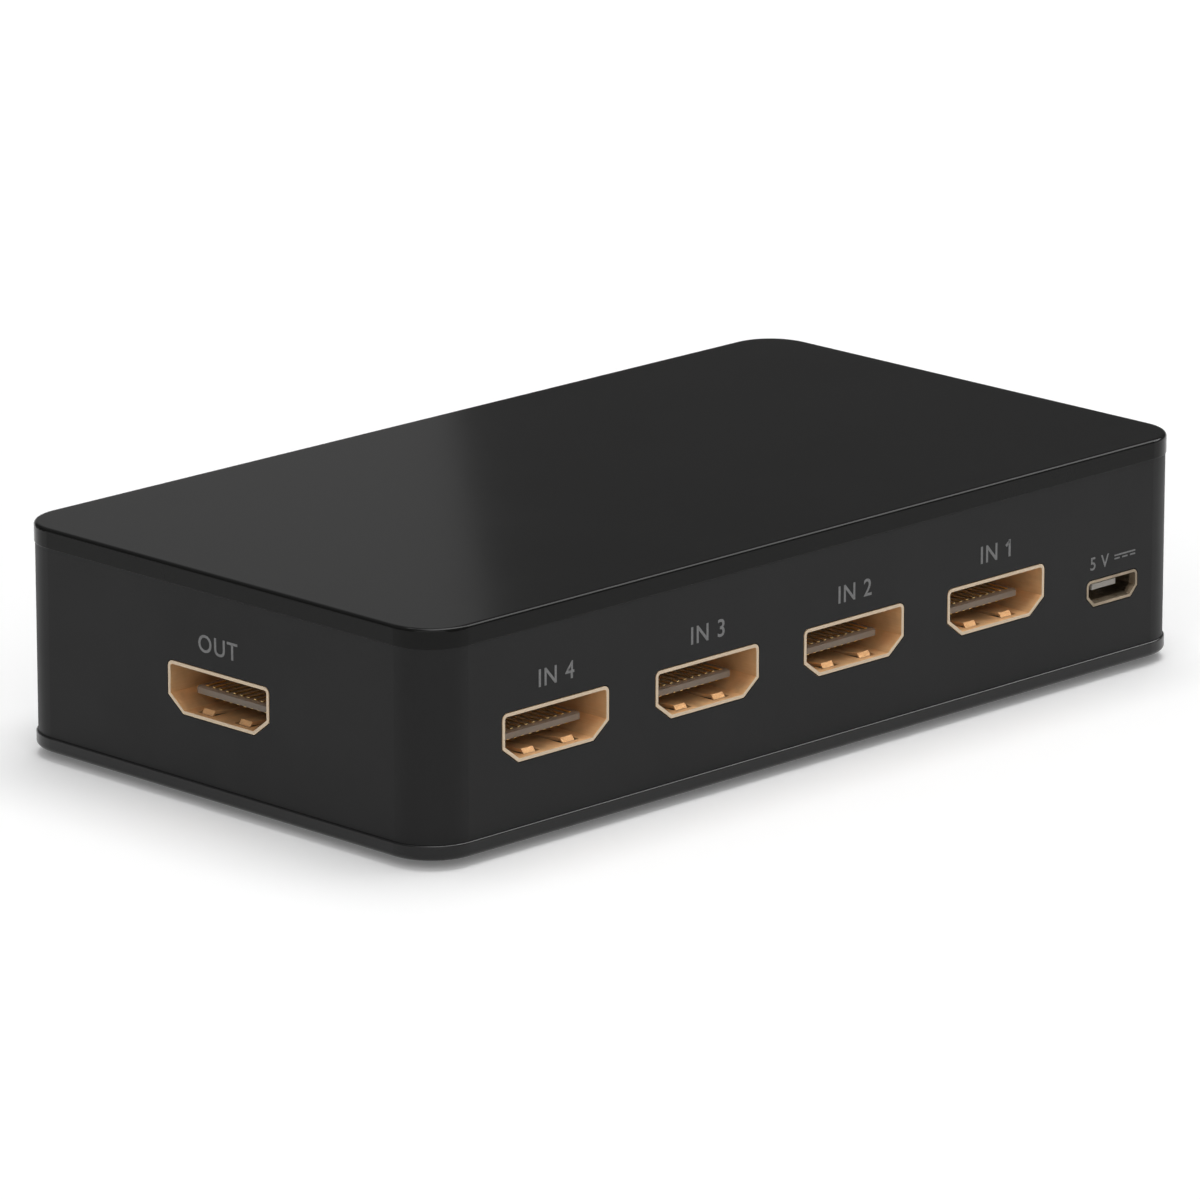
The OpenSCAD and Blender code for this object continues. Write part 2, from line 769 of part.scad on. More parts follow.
// Circuit board with notches for the pillars and holes for every leg, lead and screw
module main_board() {
    notch = max(pillar_diameter, boss_diameter) / 2 + notch_gap;
    color("#1f4d2e")
        difference() {
            translate([0, 0, board_z])
                linear_extrude(board_thickness)
                    rounded_outline(case_length - 2 * board_edge, case_width - 2 * board_edge, board_radius);
            translate([0, 0, board_z - over])
                linear_extrude(board_thickness + 2 * over) {
                    at_case_screws() circle(notch);
                    for (sx = [-1, 1], sy = [-1, 1])
                        translate([sx * (half_length - case_screw_inset_x / 2),
                                   sy * (half_width - case_screw_inset_y)])
                            square([case_screw_inset_x, 2 * notch], center = true);
                    at_board_screws() circle(d = board_screw_diameter + 2 * screw_gap);
                }
            at_sockets()
                leg_places(opening_width, shell_sheet, [0, leg_spacing])
                    leg_slot(shell_sheet, board_drop);
            at_inlet()
                leg_places(inlet_width, inlet_sheet, [0])
                    leg_slot(inlet_sheet, inlet_drop);
            at_button() {
                bracket_legs(leg_gap, board_drop_at_controls + over);
                switch_pin_places()
                    translate([0, 0, lead_drop - over]) cylinder(d = lead_hole, h = lead_bore());
            }
            at_window()
                receiver_lead_places()
                    translate([0, 0, lead_drop - over]) cylinder(d = lead_hole, h = lead_bore());
            at_lights()
                light_lead_places()
                    translate([0, lead_bend - lead_thickness / 2, lead_drop - over])
                        cylinder(d = lead_hole, h = lead_bore());
        }
}

// Length of a cutter from below the leads' ends to above the board
function lead_bore() = board_drop_at_controls - lead_drop + 2 * over;

// Places children at the outer face of a shell's legs, one pair at each spacing
module leg_places(width, sheet, spacings) {
    for (spacing = spacings, side = [-1, 1])
        translate([side * (width + sheet) / 2, board_edge + leg_inset + spacing, 0])
            children();
}

// Leg of a shell, down from a level on its side wall
module shell_leg(sheet, from, to) {
    translate([-sheet / 2, -leg_width / 2, to])
        cube([sheet, leg_width, from - to]);
}

// Hole in the board for a leg
module leg_slot(sheet, board_level) {
    translate([-sheet / 2 - leg_gap, -leg_width / 2 - leg_gap, board_level - board_thickness - over])
        cube([sheet + 2 * leg_gap, leg_width + 2 * leg_gap, board_thickness + 2 * over]);
}

// Places children on the two springs in the floor of a socket's shell
module spring_places() {
    for (side = [-1, 1])
        translate([side * spring_offset, 0, 0]) children();
}

// Spring cut from the floor: it rises from its root to a nose, and its tip turns down into the slot
module floor_spring() {
    root = spring_recess + spring_length;
    crest = spring_recess + spring_nose;
    crest_level = opening_floor + spring_rise;
    tip_level = opening_floor - spring_dip;
    across(spring_width)
        polygon([
            [root + lap, opening_floor], [root, opening_floor],
            [crest, crest_level], [spring_recess, tip_level],
            [spring_recess, tip_level - shell_sheet], [crest, crest_level - shell_sheet],
            [root, opening_floor - shell_sheet], [root + lap, opening_floor - shell_sheet]
        ]);
}

// Folded sheet shell of a video socket
module socket_shell() {
    slot_width = spring_width + 2 * spring_slot;
    side_end = opening_height / 2 - opening_side;
    color("#c9a24a") {
        difference() {
            union() {
                depth_extrude(0, shell_depth) socket_outline(shell_sheet);
                leg_places(opening_width, shell_sheet, [0, leg_spacing])
                    shell_leg(shell_sheet, side_end + lap, leg_drop);
            }
            depth_extrude(-over, shell_depth + over) socket_outline(0);
            spring_places()
                translate([-slot_width / 2, spring_recess - spring_slot, opening_floor - shell_sheet - over])
                    cube([slot_width, spring_length + spring_slot, shell_sheet + 2 * over]);
        }
        spring_places() floor_spring();
    }
}

// Insulator of a video socket: tongue, block inside the shell and rear wall on the board
module socket_insulator() {
    outer_width = opening_width + 2 * shell_sheet;
    outer_top = opening_height / 2 + shell_sheet;
    color("#4a4743")
        difference() {
            union() {
                across(tongue_width)
                    polygon([
                        [tongue_recess, tip_thickness / 2 - tongue_drop],
                        [tongue_recess + tip_length, tongue_top],
                        [block_recess + lap, tongue_top],
                        [block_recess + lap, tongue_bottom],
                        [tongue_recess + tip_length, tongue_bottom],
                        [tongue_recess, -tip_thickness / 2 - tongue_drop]
                    ]);
                depth_extrude(block_recess, shell_depth + lap) socket_outline(-insulator_gap);
                translate([-outer_width / 2, shell_depth, board_drop])
                    cube([outer_width, rear_wall, outer_top - board_drop]);
            }
            socket_contact_places()
                translate([-contact_width / 2, contact_front, 0])
                    cube([contact_width, socket_back - contact_front + over, contact_thickness]);
        }
}

// Places children at the underside of each contact on the tongue's two faces
module socket_contact_places() {
    for (i = [0:upper_contacts - 1])
        translate([(i - (upper_contacts - 1) / 2) * contact_pitch, 0, tongue_top - contact_sink])
            children();
    for (i = [0:lower_contacts - 1])
        translate([(i - (lower_contacts - 1) / 2) * contact_pitch, 0,
                   tongue_bottom + contact_sink - contact_thickness])
            children();
}

// Contact: a strip along the tongue, a drop behind the insulator and a foot on the board
module contact_section(front, back, level, board_level) {
    foot_end = back + contact_foot;
    polygon([
        [front, level], [front, level + contact_thickness],
        [back + contact_thickness, level + contact_thickness],
        [back + contact_thickness, board_level + contact_thickness],
        [foot_end, board_level + contact_thickness], [foot_end, board_level],
        [back, board_level], [back, level]
    ]);
}

module contact_row(count, pitch, front, back, level, board_level) {
    for (i = [0:count - 1])
        translate([(i - (count - 1) / 2) * pitch, 0, 0])
            across(contact_width) contact_section(front, back, level, board_level);
}

module socket_contacts() {
    color("gold") {
        contact_row(upper_contacts, contact_pitch, contact_front, socket_back,
                    tongue_top - contact_sink, board_drop);
        contact_row(lower_contacts, contact_pitch, contact_front, socket_back,
                    tongue_bottom + contact_sink - contact_thickness, board_drop);
    }
}

// Flared mouth of the power inlet, grown outwards by a wall: every side leans outwards to the front
module inlet_mouth(front, grow) {
    lean = inlet_flare / inlet_flare_length;
    end = inlet_flare_length + lap;
    intersection() {
        depth_extrude(front, end) inlet_outline(inlet_flare + grow);
        intersection_for(wall = inlet_walls)
            rotate([0, wall[0], 0])
                across(2 * inlet_width)
                    polygon([
                        [front, -inlet_width],
                        [front, wall[1] + grow + lean * (inlet_flare_length - front)],
                        [inlet_flare_length, wall[1] + grow],
                        [end, wall[1] + grow],
                        [end, -inlet_width]
                    ]);
    }
}

// Folded sheet shell of the power inlet, flared at its mouth
module inlet_shell() {
    color("#b7a489")
        difference() {
            union() {
                depth_extrude(inlet_flare_length, inlet_depth) inlet_outline(inlet_sheet);
                inlet_mouth(0, inlet_sheet);
                leg_places(inlet_width, inlet_sheet, [0])
                    shell_leg(inlet_sheet, inlet_height / 2 - inlet_side + lap, inlet_leg_drop);
            }
            depth_extrude(0, inlet_depth + over) inlet_outline(0);
            inlet_mouth(-over, 0);
        }
}

// Insulator of the power inlet: tongue, block and rear wall on the board
module inlet_insulator() {
    outer_width = inlet_width + 2 * inlet_sheet;
    outer_top = inlet_height / 2 + inlet_sheet;
    color("#5a5854")
        difference() {
            union() {
                translate([-inlet_tongue_width / 2, inlet_tongue_recess, inlet_tongue_bottom])
                    cube([inlet_tongue_width, inlet_depth - inlet_tongue_recess, inlet_tongue_thickness]);
                depth_extrude(inlet_block_recess, inlet_depth + lap) inlet_outline(-insulator_gap);
                translate([-outer_width / 2, inlet_depth, inlet_drop])
                    cube([outer_width, inlet_rear_wall, outer_top - inlet_drop]);
            }
            for (i = [0:inlet_contacts - 1])
                translate([(i - (inlet_contacts - 1) / 2) * inlet_contact_pitch - contact_width / 2,
                           inlet_contact_front, inlet_tongue_bottom + contact_sink - contact_thickness])
                    cube([contact_width, inlet_back - inlet_contact_front + over, contact_thickness]);
        }
}

module inlet_contact_set() {
    color("gold")
        contact_row(inlet_contacts, inlet_contact_pitch, inlet_contact_front, inlet_back,
                    inlet_tongue_bottom + contact_sink - contact_thickness, inlet_drop);
}

module power_inlet_shell() at_inlet() inlet_shell();

module power_inlet_insulator() at_inlet() inlet_insulator();

module power_inlet_contacts() at_inlet() inlet_contact_set();

// Button cap with the flange that keeps it in the frame and the pusher behind it
module select_button() {
    radius = button_diameter / 2;
    color("#242424")
        at_button() {
            revolve()
                difference() {
                    translate([0, -button_proud]) square([radius, button_proud + wall + lap]);
                    translate([radius, -button_proud])
                        mirror([0, 1]) corner_waste(button_round);
                }
            depth_rod(button_diameter + 2 * button_flange, wall, wall + button_flange_thickness);
            depth_rod(pusher_diameter, wall, pusher_end);
        }
}

// Stem of the switch, held in by its flange
module switch_stem() {
    color("#1d1d1d")
        at_button() {
            depth_rod(stem_diameter, stem_tip, switch_front + stem_flange_thickness);
            depth_rod(stem_flange, switch_front, switch_front + stem_flange_thickness);
        }
}

// Housing of the switch with a round well for the stem and the dome
module switch_case() {
    color("#333333")
        at_button()
            difference() {
                translate([-switch_side / 2, switch_front, -switch_side / 2])
                    cube([switch_side, switch_back - switch_front, switch_side]);
                depth_rod(well_diameter, switch_front - over, well_floor);
            }
}

// Legs of the bracket, with room round them where they pass the board
module bracket_legs(room, from) {
    end = from > board_drop_at_controls ? lead_drop - over : lead_drop;
    for (side = [-1, 1])
        translate([side * (switch_side + bracket_sheet) / 2 - bracket_sheet / 2 - room,
                   switch_front - room, end])
            cube([bracket_sheet + 2 * room, bracket_leg + 2 * room, from - end]);
}

// Folded bracket: a front plate, two side arms and a leg on each side
module switch_bracket() {
    outer_side = switch_side + 2 * bracket_sheet;
    color("silver")
        at_button()
            difference() {
                union() {
                    translate([-outer_side / 2, bracket_front, -switch_side / 2])
                        cube([outer_side, bracket_sheet, switch_side]);
                    for (side = [-1, 1])
                        translate([side * (switch_side + bracket_sheet) / 2 - bracket_sheet / 2,
                                   bracket_front, -switch_side / 2])
                            cube([bracket_sheet, switch_back - bracket_front, switch_side]);
                    bracket_legs(0, lap - switch_side / 2);
                }
                depth_rod(stem_diameter + 2 * stem_gap, bracket_front - over, switch_front + over);
            }
}

// Snap dome: a thin cap of a sphere with its rim on the floor of the well
module switch_dome() {
    rim = stem_diameter / 2;
    sphere_radius = (rim * rim + dome_height * dome_height) / (2 * dome_height);
    color("silver")
        at_button()
            translate([0, well_floor, 0])
                revolve()
                    intersection() {
                        translate([0, sphere_radius - dome_height])
                            difference() {
                                circle(sphere_radius);
                                circle(sphere_radius - dome_thickness);
                            }
                        translate([0, -dome_height]) square([rim, dome_height]);
                    }
}

module switch_pin_places() {
    for (side = [-1, 1])
        translate([side * lead_pitch / 2, switch_back - lead_thickness, 0]) children();
}

// Pins from the underside of the switch's case into the board
module switch_pins() {
    color("silver")
        at_button()
            switch_pin_places()
                translate([-lead_thickness / 2, -lead_thickness / 2, lead_drop])
                    cube([lead_thickness, lead_thickness, -switch_side / 2 - lead_drop]);
}

// Dark window that the remote receiver looks through
module remote_window() {
    radius = window_diameter / 2;
    color("#30101a")
        at_window() {
            revolve()
                difference() {
                    translate([0, -window_proud]) square([radius, window_proud + wall + lap]);
                    translate([radius, -window_proud])
                        mirror([0, 1]) corner_waste(window_proud);
                }
            depth_rod(window_diameter + 2 * window_flange, wall, wall + window_flange_thickness);
        }
}

// Receiver: a square body with a round lens in front
module remote_receiver() {
    color("#161616")
        at_window() {
            translate([-receiver_width / 2, receiver_front, -receiver_height / 2])
                cube([receiver_width, receiver_thickness, receiver_height]);
            difference() {
                translate([0, receiver_front, 0]) sphere(receiver_lens);
                translate([-receiver_width / 2, receiver_front + lap, -receiver_height / 2])
                    cube([receiver_width, receiver_thickness, receiver_height]);
            }
        }
}

module receiver_lead_places() {
    for (i = [-1:1])
        translate([i * lead_pitch, receiver_middle, 0]) children();
}

module receiver_leads() {
    color("silver")
        at_window()
            receiver_lead_places()
                translate([-lead_thickness / 2, -lead_thickness / 2, lead_drop])
                    cube([lead_thickness, lead_thickness, -receiver_height / 2 - lead_drop]);
}

// Light: a round nosed lens with a collar at its base
module light_lens() {
    radius = light_diameter / 2;
    revolve()
        union() {
            intersection() {
                translate([0, radius - light_proud]) circle(radius);
                translate([0, -light_proud]) square([radius, radius]);
            }
            translate([0, radius - light_proud]) square([radius, light_length - radius]);
            translate([0, light_base - light_collar_thickness])
                square([radius + light_collar, light_collar_thickness]);
        }
}

module power_light() color("#b03030") at_light(0) light_lens();

module input_light(number) color("#3060b0") at_light(number) light_lens();

module light_lead_places() {
    for (side = [-1, 1])
        translate([side * lead_pitch / 2, 0, 0]) children();
}

// Leads of the lights, bent down into the board
module light_leads() {
    half = lead_thickness / 2;
    color("silver")
        at_lights()
            light_lead_places()
                across(lead_thickness)
                    polygon([
                        [light_base, half], [lead_bend, half], [lead_bend, lead_drop],
                        [lead_bend - lead_thickness, lead_drop],
                        [lead_bend - lead_thickness, -half], [light_base, -half]
                    ]);
}

// Row of bent leads along one side of a chip; the chip's side lies on y = 0
module chip_lead_row(count, pitch) {
    middle = chip_stand + chip_thickness / 2;
    thickness = chip_stand * 1.5;
    shoulder = chip_lead_reach / 4;
    slope = chip_lead_reach / 5;
    lean = chip_lead_reach / 10;
    for (i = [0:count - 1])
        translate([(i - (count - 1) / 2) * pitch, 0, 0])
            across(chip_lead_width)
                polygon([
                    [-lap, middle], [shoulder + lean, middle],
                    [shoulder + lean + slope, thickness], [chip_lead_reach, thickness],
                    [chip_lead_reach, 0], [shoulder + slope, 0],
                    [shoulder, middle - thickness], [-lap, middle - thickness]
                ]);
}

// Chip body standing just clear of the board
module chip_body(length, width) {
    translate([-length / 2, -width / 2, chip_stand])
        cube([length, width, chip_thickness]);
}

// Square chip with leads on its four sides
module switch_chip() {
    leads = 16;
    color("#202020")
        translate([switch_chip_at.x, switch_chip_at.y, board_top]) {
            chip_body(switch_chip_side, switch_chip_side);
            for (turn = [0:90:270])
                rotate(turn)
                    translate([0, switch_chip_side / 2, 0]) chip_lead_row(leads, switch_chip_pitch);
        }
}

// Long chip with leads on two sides
module control_chip() {
    leads = 8;
    color("#202020")
        translate([control_chip_inset.x - half_length, half_width - control_chip_inset.y, board_top]) {
            chip_body(leads * control_chip_pitch, control_chip_width);
            for (turn = [0, 180])
                rotate(turn)
                    translate([0, control_chip_width / 2, 0]) chip_lead_row(leads, control_chip_pitch);
        }
}

// Regulator with three leads and a wide cooling tab
module voltage_regulator() {
    leads = 3;
    color("#202020")
        at_regulator() {
            chip_body(regulator_length, regulator_width);
            translate([0, regulator_width / 2, 0]) chip_lead_row(leads, regulator_pitch);
            translate([-regulator_tab / 2, -regulator_width / 2 - chip_lead_reach, 0])
                cube([regulator_tab, chip_lead_reach + lap, 2 * chip_stand]);
        }
}

// Crystal: a can with round ends on a thin flange
module crystal() {
    flange_length = crystal_length + 2 * crystal_lip;
    flange_width = crystal_width + 2 * crystal_lip;
    color("silver")
        translate([crystal_at.x, crystal_at.y, board_top]) {
            linear_extrude(crystal_height)
                rounded_outline(crystal_length, crystal_width, crystal_width * 0.45);
            linear_extrude(crystal_flange)
                rounded_outline(flange_length, flange_width, crystal_width / 2);
        }
}

// Filter capacitors by the power inlet: crimped cans on square feet
module filter_capacitors() {
    radius = can_diameter / 2;
    foot_height = 0.9;
    crimp = 0.3;
    color("#b8b8bc")
        at_regulator()
            for (i = [0, 1])
                translate([can_offset.x, can_offset.y + i * can_pitch, 0]) {
                    linear_extrude(foot_height)
                        rounded_outline(can_diameter + crimp, can_diameter + crimp, 2 * crimp);
                    rotate_extrude()
                        difference() {
                            square([radius, can_height]);
                            translate([radius, foot_height + 2 * crimp]) circle(crimp);
                        }
                }
}

// Small board part: a body with a plated cap on each end
module small_part(height) {
    step = 0.03;
    cap = small_part_length / 4;
    translate([-small_part_length / 2 + step, -small_part_width / 2 + step, 0])
        cube([small_part_length - 2 * step, small_part_width - 2 * step, height - step]);
    for (side = [-1, 1])
        translate([side * (small_part_length - cap) / 2 - cap / 2, -small_part_width / 2, 0])
            cube([cap, small_part_width, height]);
}

// Guards on the signal lines, in a row behind each socket's contacts
module line_guards() {
    count = 4;
    color("#202020")
        at_sockets()
            for (i = [0:count - 1])
                translate([(i - (count - 1) / 2) * row_pitch - guard_width / 2,
                           socket_end + row_gap, board_drop])
                    cube([guard_width, guard_length, guard_thickness]);
}

// Resistors in a row behind the guards
module chip_resistors() {
    count = 4;
    height = 0.45;
    color("#303030")
        at_sockets()
            for (i = [0:count - 1])
                translate([(i - (count - 1) / 2) * row_pitch,
                           socket_end + 2 * row_gap + guard_length + small_part_width / 2, board_drop])
                    small_part(height);
}

// Capacitors in a row beyond each side of the switching chip
module chip_capacitors() {
    count = 4;
    height = 0.8;
    reach = switch_chip_side / 2 + chip_lead_reach + row_gap + small_part_width / 2;
    color("#b09a74")
        translate([switch_chip_at.x, switch_chip_at.y, board_top])
            for (turn = [0:90:270], i = [0:count - 1])
                rotate(turn)
                    translate([(i - (count - 1) / 2) * row_pitch, reach, 0])
                        small_part(height);
}

top_cover();
side_frame();
base_plate();
rubber_feet();
case_screws();
board_screws();
main_board();
switch_chip();
control_chip();
voltage_regulator();
crystal();
filter_capacitors();
chip_capacitors();
chip_resistors();
line_guards();
at_output() socket_shell();  // output_shell
at_output() socket_insulator();  // output_insulator
at_output() socket_contacts();  // output_contacts
for (number = [1:inputs]) {
    at_input(number) socket_shell();
    at_input(number) socket_insulator();
    at_input(number) socket_contacts();
}
power_inlet_shell();
power_inlet_insulator();
power_inlet_contacts();
select_button();
switch_stem();
switch_case();
switch_bracket();
switch_dome();
switch_pins();
remote_window();
remote_receiver();
receiver_leads();
power_light();
for (number = [1:inputs])
    input_light(number);
light_leads();
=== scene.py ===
"""Looks of a video switch box: finishes, printing, solder, screw threads and the studio.

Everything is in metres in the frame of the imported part, and each new piece rides on one of its bodies.
"""

import math

import bmesh
import bpy
from mathutils import Matrix, Vector


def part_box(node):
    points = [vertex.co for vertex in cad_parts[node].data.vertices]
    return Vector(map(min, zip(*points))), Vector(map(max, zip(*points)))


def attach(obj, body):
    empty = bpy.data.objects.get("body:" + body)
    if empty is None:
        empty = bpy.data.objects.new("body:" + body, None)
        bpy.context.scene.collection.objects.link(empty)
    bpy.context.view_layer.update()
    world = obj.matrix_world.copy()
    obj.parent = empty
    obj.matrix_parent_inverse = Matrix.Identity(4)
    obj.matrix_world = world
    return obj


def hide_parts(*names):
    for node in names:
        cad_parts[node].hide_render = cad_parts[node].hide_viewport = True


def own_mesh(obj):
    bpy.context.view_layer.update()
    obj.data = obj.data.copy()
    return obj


bl_info = {
    "name": "Video Switch Box",
    "version": (1, 0, 0),
    "blender": (4, 5, 0),
    "location": "3D View > Sidebar > Switch Box",
    "description": "Finishes, prints and lights a video switch box",
    "category": "Object",
}

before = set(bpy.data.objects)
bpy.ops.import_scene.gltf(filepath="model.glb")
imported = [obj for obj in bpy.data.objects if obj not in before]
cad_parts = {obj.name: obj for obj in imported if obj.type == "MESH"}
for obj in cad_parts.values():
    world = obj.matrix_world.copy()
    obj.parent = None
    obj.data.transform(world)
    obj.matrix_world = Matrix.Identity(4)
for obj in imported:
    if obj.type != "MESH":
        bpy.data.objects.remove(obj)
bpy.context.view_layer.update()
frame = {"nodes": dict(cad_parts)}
NODES = frame["nodes"]
HOUSING = "housing"
INPUTS = (1, 2, 3, 4)
SOCKETS = ("output", *(f"input_{number}" for number in INPUTS))
MM = 0.001

# Directions of the two printed faces: right, up and outward
INPUT_FACE = (Vector((1, 0, 0)), Vector((0, 0, 1)), Vector((0, -1, 0)))
OUTPUT_FACE = (Vector((0, -1, 0)), Vector((0, 0, 1)), Vector((-1, 0, 0)))


def colour_property(name, description, default):
    return bpy.props.FloatVectorProperty(
        name=name, description=description, default=default, subtype="COLOR", size=3, min=0, max=1
    )


def length_property(name, description, default):
    return bpy.props.FloatProperty(
        name=name, description=description, default=default, unit="LENGTH", precision=5
    )


def power_property(name, description, default):
    return bpy.props.FloatProperty(name=name, description=description, default=default, subtype="POWER")


class SwitchBoxFinish(bpy.types.PropertyGroup):
    """Colours and grain of the box's own surfaces."""

    cover: colour_property("Cover", "Colour of the top cover", (0.0058, 0.0058, 0.0055))
    frame: colour_property("Frame", "Colour of the side frame", (0.007, 0.007, 0.007))
    base: colour_property("Base", "Colour of the base plate", (0.007, 0.007, 0.007))
    rubber: colour_property("Feet", "Colour of the rubber feet", (0.012, 0.012, 0.012))
    gold: colour_property("Gold", "Colour of the sockets' plating", (0.8, 0.52, 0.27))
    # Paler rim tone: partly plugs rubbing the plating, partly a painted highlight on the outward rim
    rim_gold_wear_and_highlight: colour_property("Rubbed gold", "Colour where plugs rub the plating", (0.53, 0.43, 0.315))
    contact: colour_property("Contacts", "Colour of the contacts' plating", (0.86, 0.62, 0.28))
    inlet: colour_property("Inlet", "Colour of the power inlet's plating", (0.32, 0.26, 0.19))
    inlet_tongue: colour_property("Inlet tongue", "Colour of the inlet's insulator", (0.36, 0.34, 0.31))
    insulator: colour_property("Insulator", "Colour of the sockets' insulators", (0.17, 0.145, 0.12))
    steel: colour_property("Steel", "Colour of screws, leads and solder", (0.62, 0.62, 0.6))
    can: colour_property("Cans", "Colour of the filter capacitors' cans", (0.72, 0.72, 0.74))
    moulding: colour_property("Moulding", "Colour of chips and the cans' feet", (0.012, 0.012, 0.013))
    switch: colour_property("Switch", "Colour of the push switch and the receiver", (0.014, 0.014, 0.015))
    ceramic: colour_property("Ceramic", "Colour of the chip capacitors", (0.35, 0.25, 0.14))
    glaze: colour_property("Glaze", "Colour of the resistors and line guards", (0.015, 0.015, 0.017))
    mask: colour_property("Board", "Colour of the board's solder mask", (0.008, 0.07, 0.03))
    power_lens: colour_property("Power light", "Colour of the power light", (0.55, 0.02, 0.015))
    input_lens: colour_property("Input lights", "Colour of the input lights", (0.06, 0.2, 0.7))
    grain: length_property("Grain", "Size of the grain on the housing", 0.22 * MM)
    fine_grain: length_property("Fine grain", "Size of the grain on small plastic parts", 0.15 * MM)
    chip_grain: length_property("Chip grain", "Size of the grain on ceramic and glazed chips", 0.2 * MM)


class SwitchBoxPrint(bpy.types.PropertyGroup):
    """Sizes of the printing on the frame."""

    ink: colour_property("Ink", "Colour of the printing", (0.16, 0.16, 0.16))
    cap_height: length_property("Cap height", "Height of the letters at the video sockets", 1.8 * MM)
    rise: length_property("Rise", "Height of the printing above a video socket", 1.8 * MM)
    inlet_cap_height: length_property("Inlet cap height", "Height of the letters at the inlet", 1.35 * MM)
    inlet_rise: length_property("Inlet rise", "Height of the printing above the inlet", 1.15 * MM)
    thickness: length_property("Thickness", "Thickness of the ink", 0.02 * MM)


class SwitchBoxMetalwork(bpy.types.PropertyGroup):
    """Sizes of the solder and of the screws' threads."""

    fillet_radius: length_property("Fillet radius", "Radius of a solder fillet on the board", 0.95 * MM)
    fillet_height: length_property("Fillet height", "Height of a solder fillet", 0.55 * MM)
    thread_pitch: length_property("Thread pitch", "Distance between a thread's turns", 0.9 * MM)
    thread_depth: length_property("Thread depth", "Height of a thread above the core", 0.13 * MM)
    thread_start: length_property("Thread start", "Plain length between a head and its thread", 0.6 * MM)


class SwitchBoxStage(bpy.types.PropertyGroup):
    """Camera and light."""

    azimuth: bpy.props.FloatProperty(
        name="Azimuth", description="Direction of the camera", default=math.radians(-45.069), subtype="ANGLE"
    )
    elevation: bpy.props.FloatProperty(
        name="Elevation", description="Height of the camera", default=math.radians(15.673), subtype="ANGLE"
    )
    distance: length_property("Distance", "Distance of the camera from its aim", 901.43 * MM)
    lens: bpy.props.FloatProperty(
        name="Lens", description="Focal length in millimetres on a 36 mm sensor", default=261.84
    )
    aim_height: length_property("Aim height", "Height of the camera's aim", 12.77 * MM)
    aim_right: length_property("Aim right", "Sideways place of the camera's aim", -1.12 * MM)
    aim_up: length_property("Aim up", "Upward place of the camera's aim", -1.637 * MM)
    floor: colour_property("Floor", "Colour of the floor", (0.95, 0.95, 0.95))
    overhead: power_property("Overhead", "Power of the softbox overhead", 10.0)
    front: power_property("Front", "Power of the softbox behind the camera", 13.0)
    edge_light: power_property("Edge light", "Power of the softbox that lines the edges", 24.0)
    side_panel: power_property("Side panel", "Power of the panel behind the box", 0.09)
    below: power_property("Below", "Power of the softbox under the floor", 9.0)


class SwitchBoxSettings(bpy.types.PropertyGroup):
    """All settings of the switch box."""

    finish: bpy.props.PointerProperty(type=SwitchBoxFinish)
    printing: bpy.props.PointerProperty(type=SwitchBoxPrint)
    metalwork: bpy.props.PointerProperty(type=SwitchBoxMetalwork)
    stage: bpy.props.PointerProperty(type=SwitchBoxStage)


def settings():
    return bpy.context.scene.switch_box


# Node helpers

def add(tree, kind, sockets=None, **fields):
    """Adds a node, sets its fields, and fills its inputs with values or links."""
    made = tree.nodes.new(kind)
    for field, value in fields.items():
        setattr(made, field, value)
    for key, value in (sockets or {}).items():
        if isinstance(value, bpy.types.NodeSocket):
            tree.links.new(value, made.inputs[key])
        else:
            made.inputs[key].default_value = value
    return made


def maths(tree, operation, first, second=0.0):
    return add(tree, "ShaderNodeMath", {0: first, 1: second}, operation=operation).outputs[0]


def shade(colour, level):
    """The colour at another level, with an alpha of one."""
    return (*(min(1.0, channel * level) for channel in colour), 1.0)


def new_finish(name):
    """New material, its tree and shader, and the object's own coordinates."""
    finish = bpy.data.materials.new(name)
    finish.use_nodes = True
    tree = finish.node_tree
    shader = tree.nodes["Principled BSDF"]
    place = add(tree, "ShaderNodeTexCoord").outputs["Object"]
    return finish, tree, shader, place


def noise(tree, place, size, detail=2.0, stretch=(1, 1, 1)):
    """Noise whose spots have a real size; a stretch below one draws them out along that axis."""
    scaled = add(tree, "ShaderNodeMapping", {"Vector": place, "Scale": stretch})
    return add(
        tree, "ShaderNodeTexNoise", {"Vector": scaled.outputs[0], "Scale": 1 / size, "Detail": detail}
    ).outputs["Fac"]


def mix_colour(tree, factor, low, high):
    """Colour between two others; index 0 is the factor, 6 and 7 are the colours."""
    return add(tree, "ShaderNodeMix", {0: factor, 6: low, 7: high}, data_type="RGBA").outputs[2]


def span(tree, value, low, high, from_low=0.3, from_high=0.7):
    """Maps a range, by default a noise's usual one, to another range."""
    return add(
        tree,
        "ShaderNodeMapRange",
        {"Value": value, "From Min": from_low, "From Max": from_high, "To Min": low, "To Max": high},
    ).outputs[0]


def relief(tree, shader, height, depth):
    """Raises the surface by a height of that depth, with a bump."""
    bump = add(tree, "ShaderNodeBump", {"Height": height, "Distance": depth, "Strength": 1.0})
    tree.links.new(bump.outputs[0], shader.inputs["Normal"])


def drive(tree, shader, colour=None, roughness=None, metallic=None):
    """Links what varies over the surface to the shader."""
    for name, socket in (("Base Color", colour), ("Roughness", roughness), ("Metallic", metallic)):
        if socket is not None:
            tree.links.new(socket, shader.inputs[name])


# Finishes

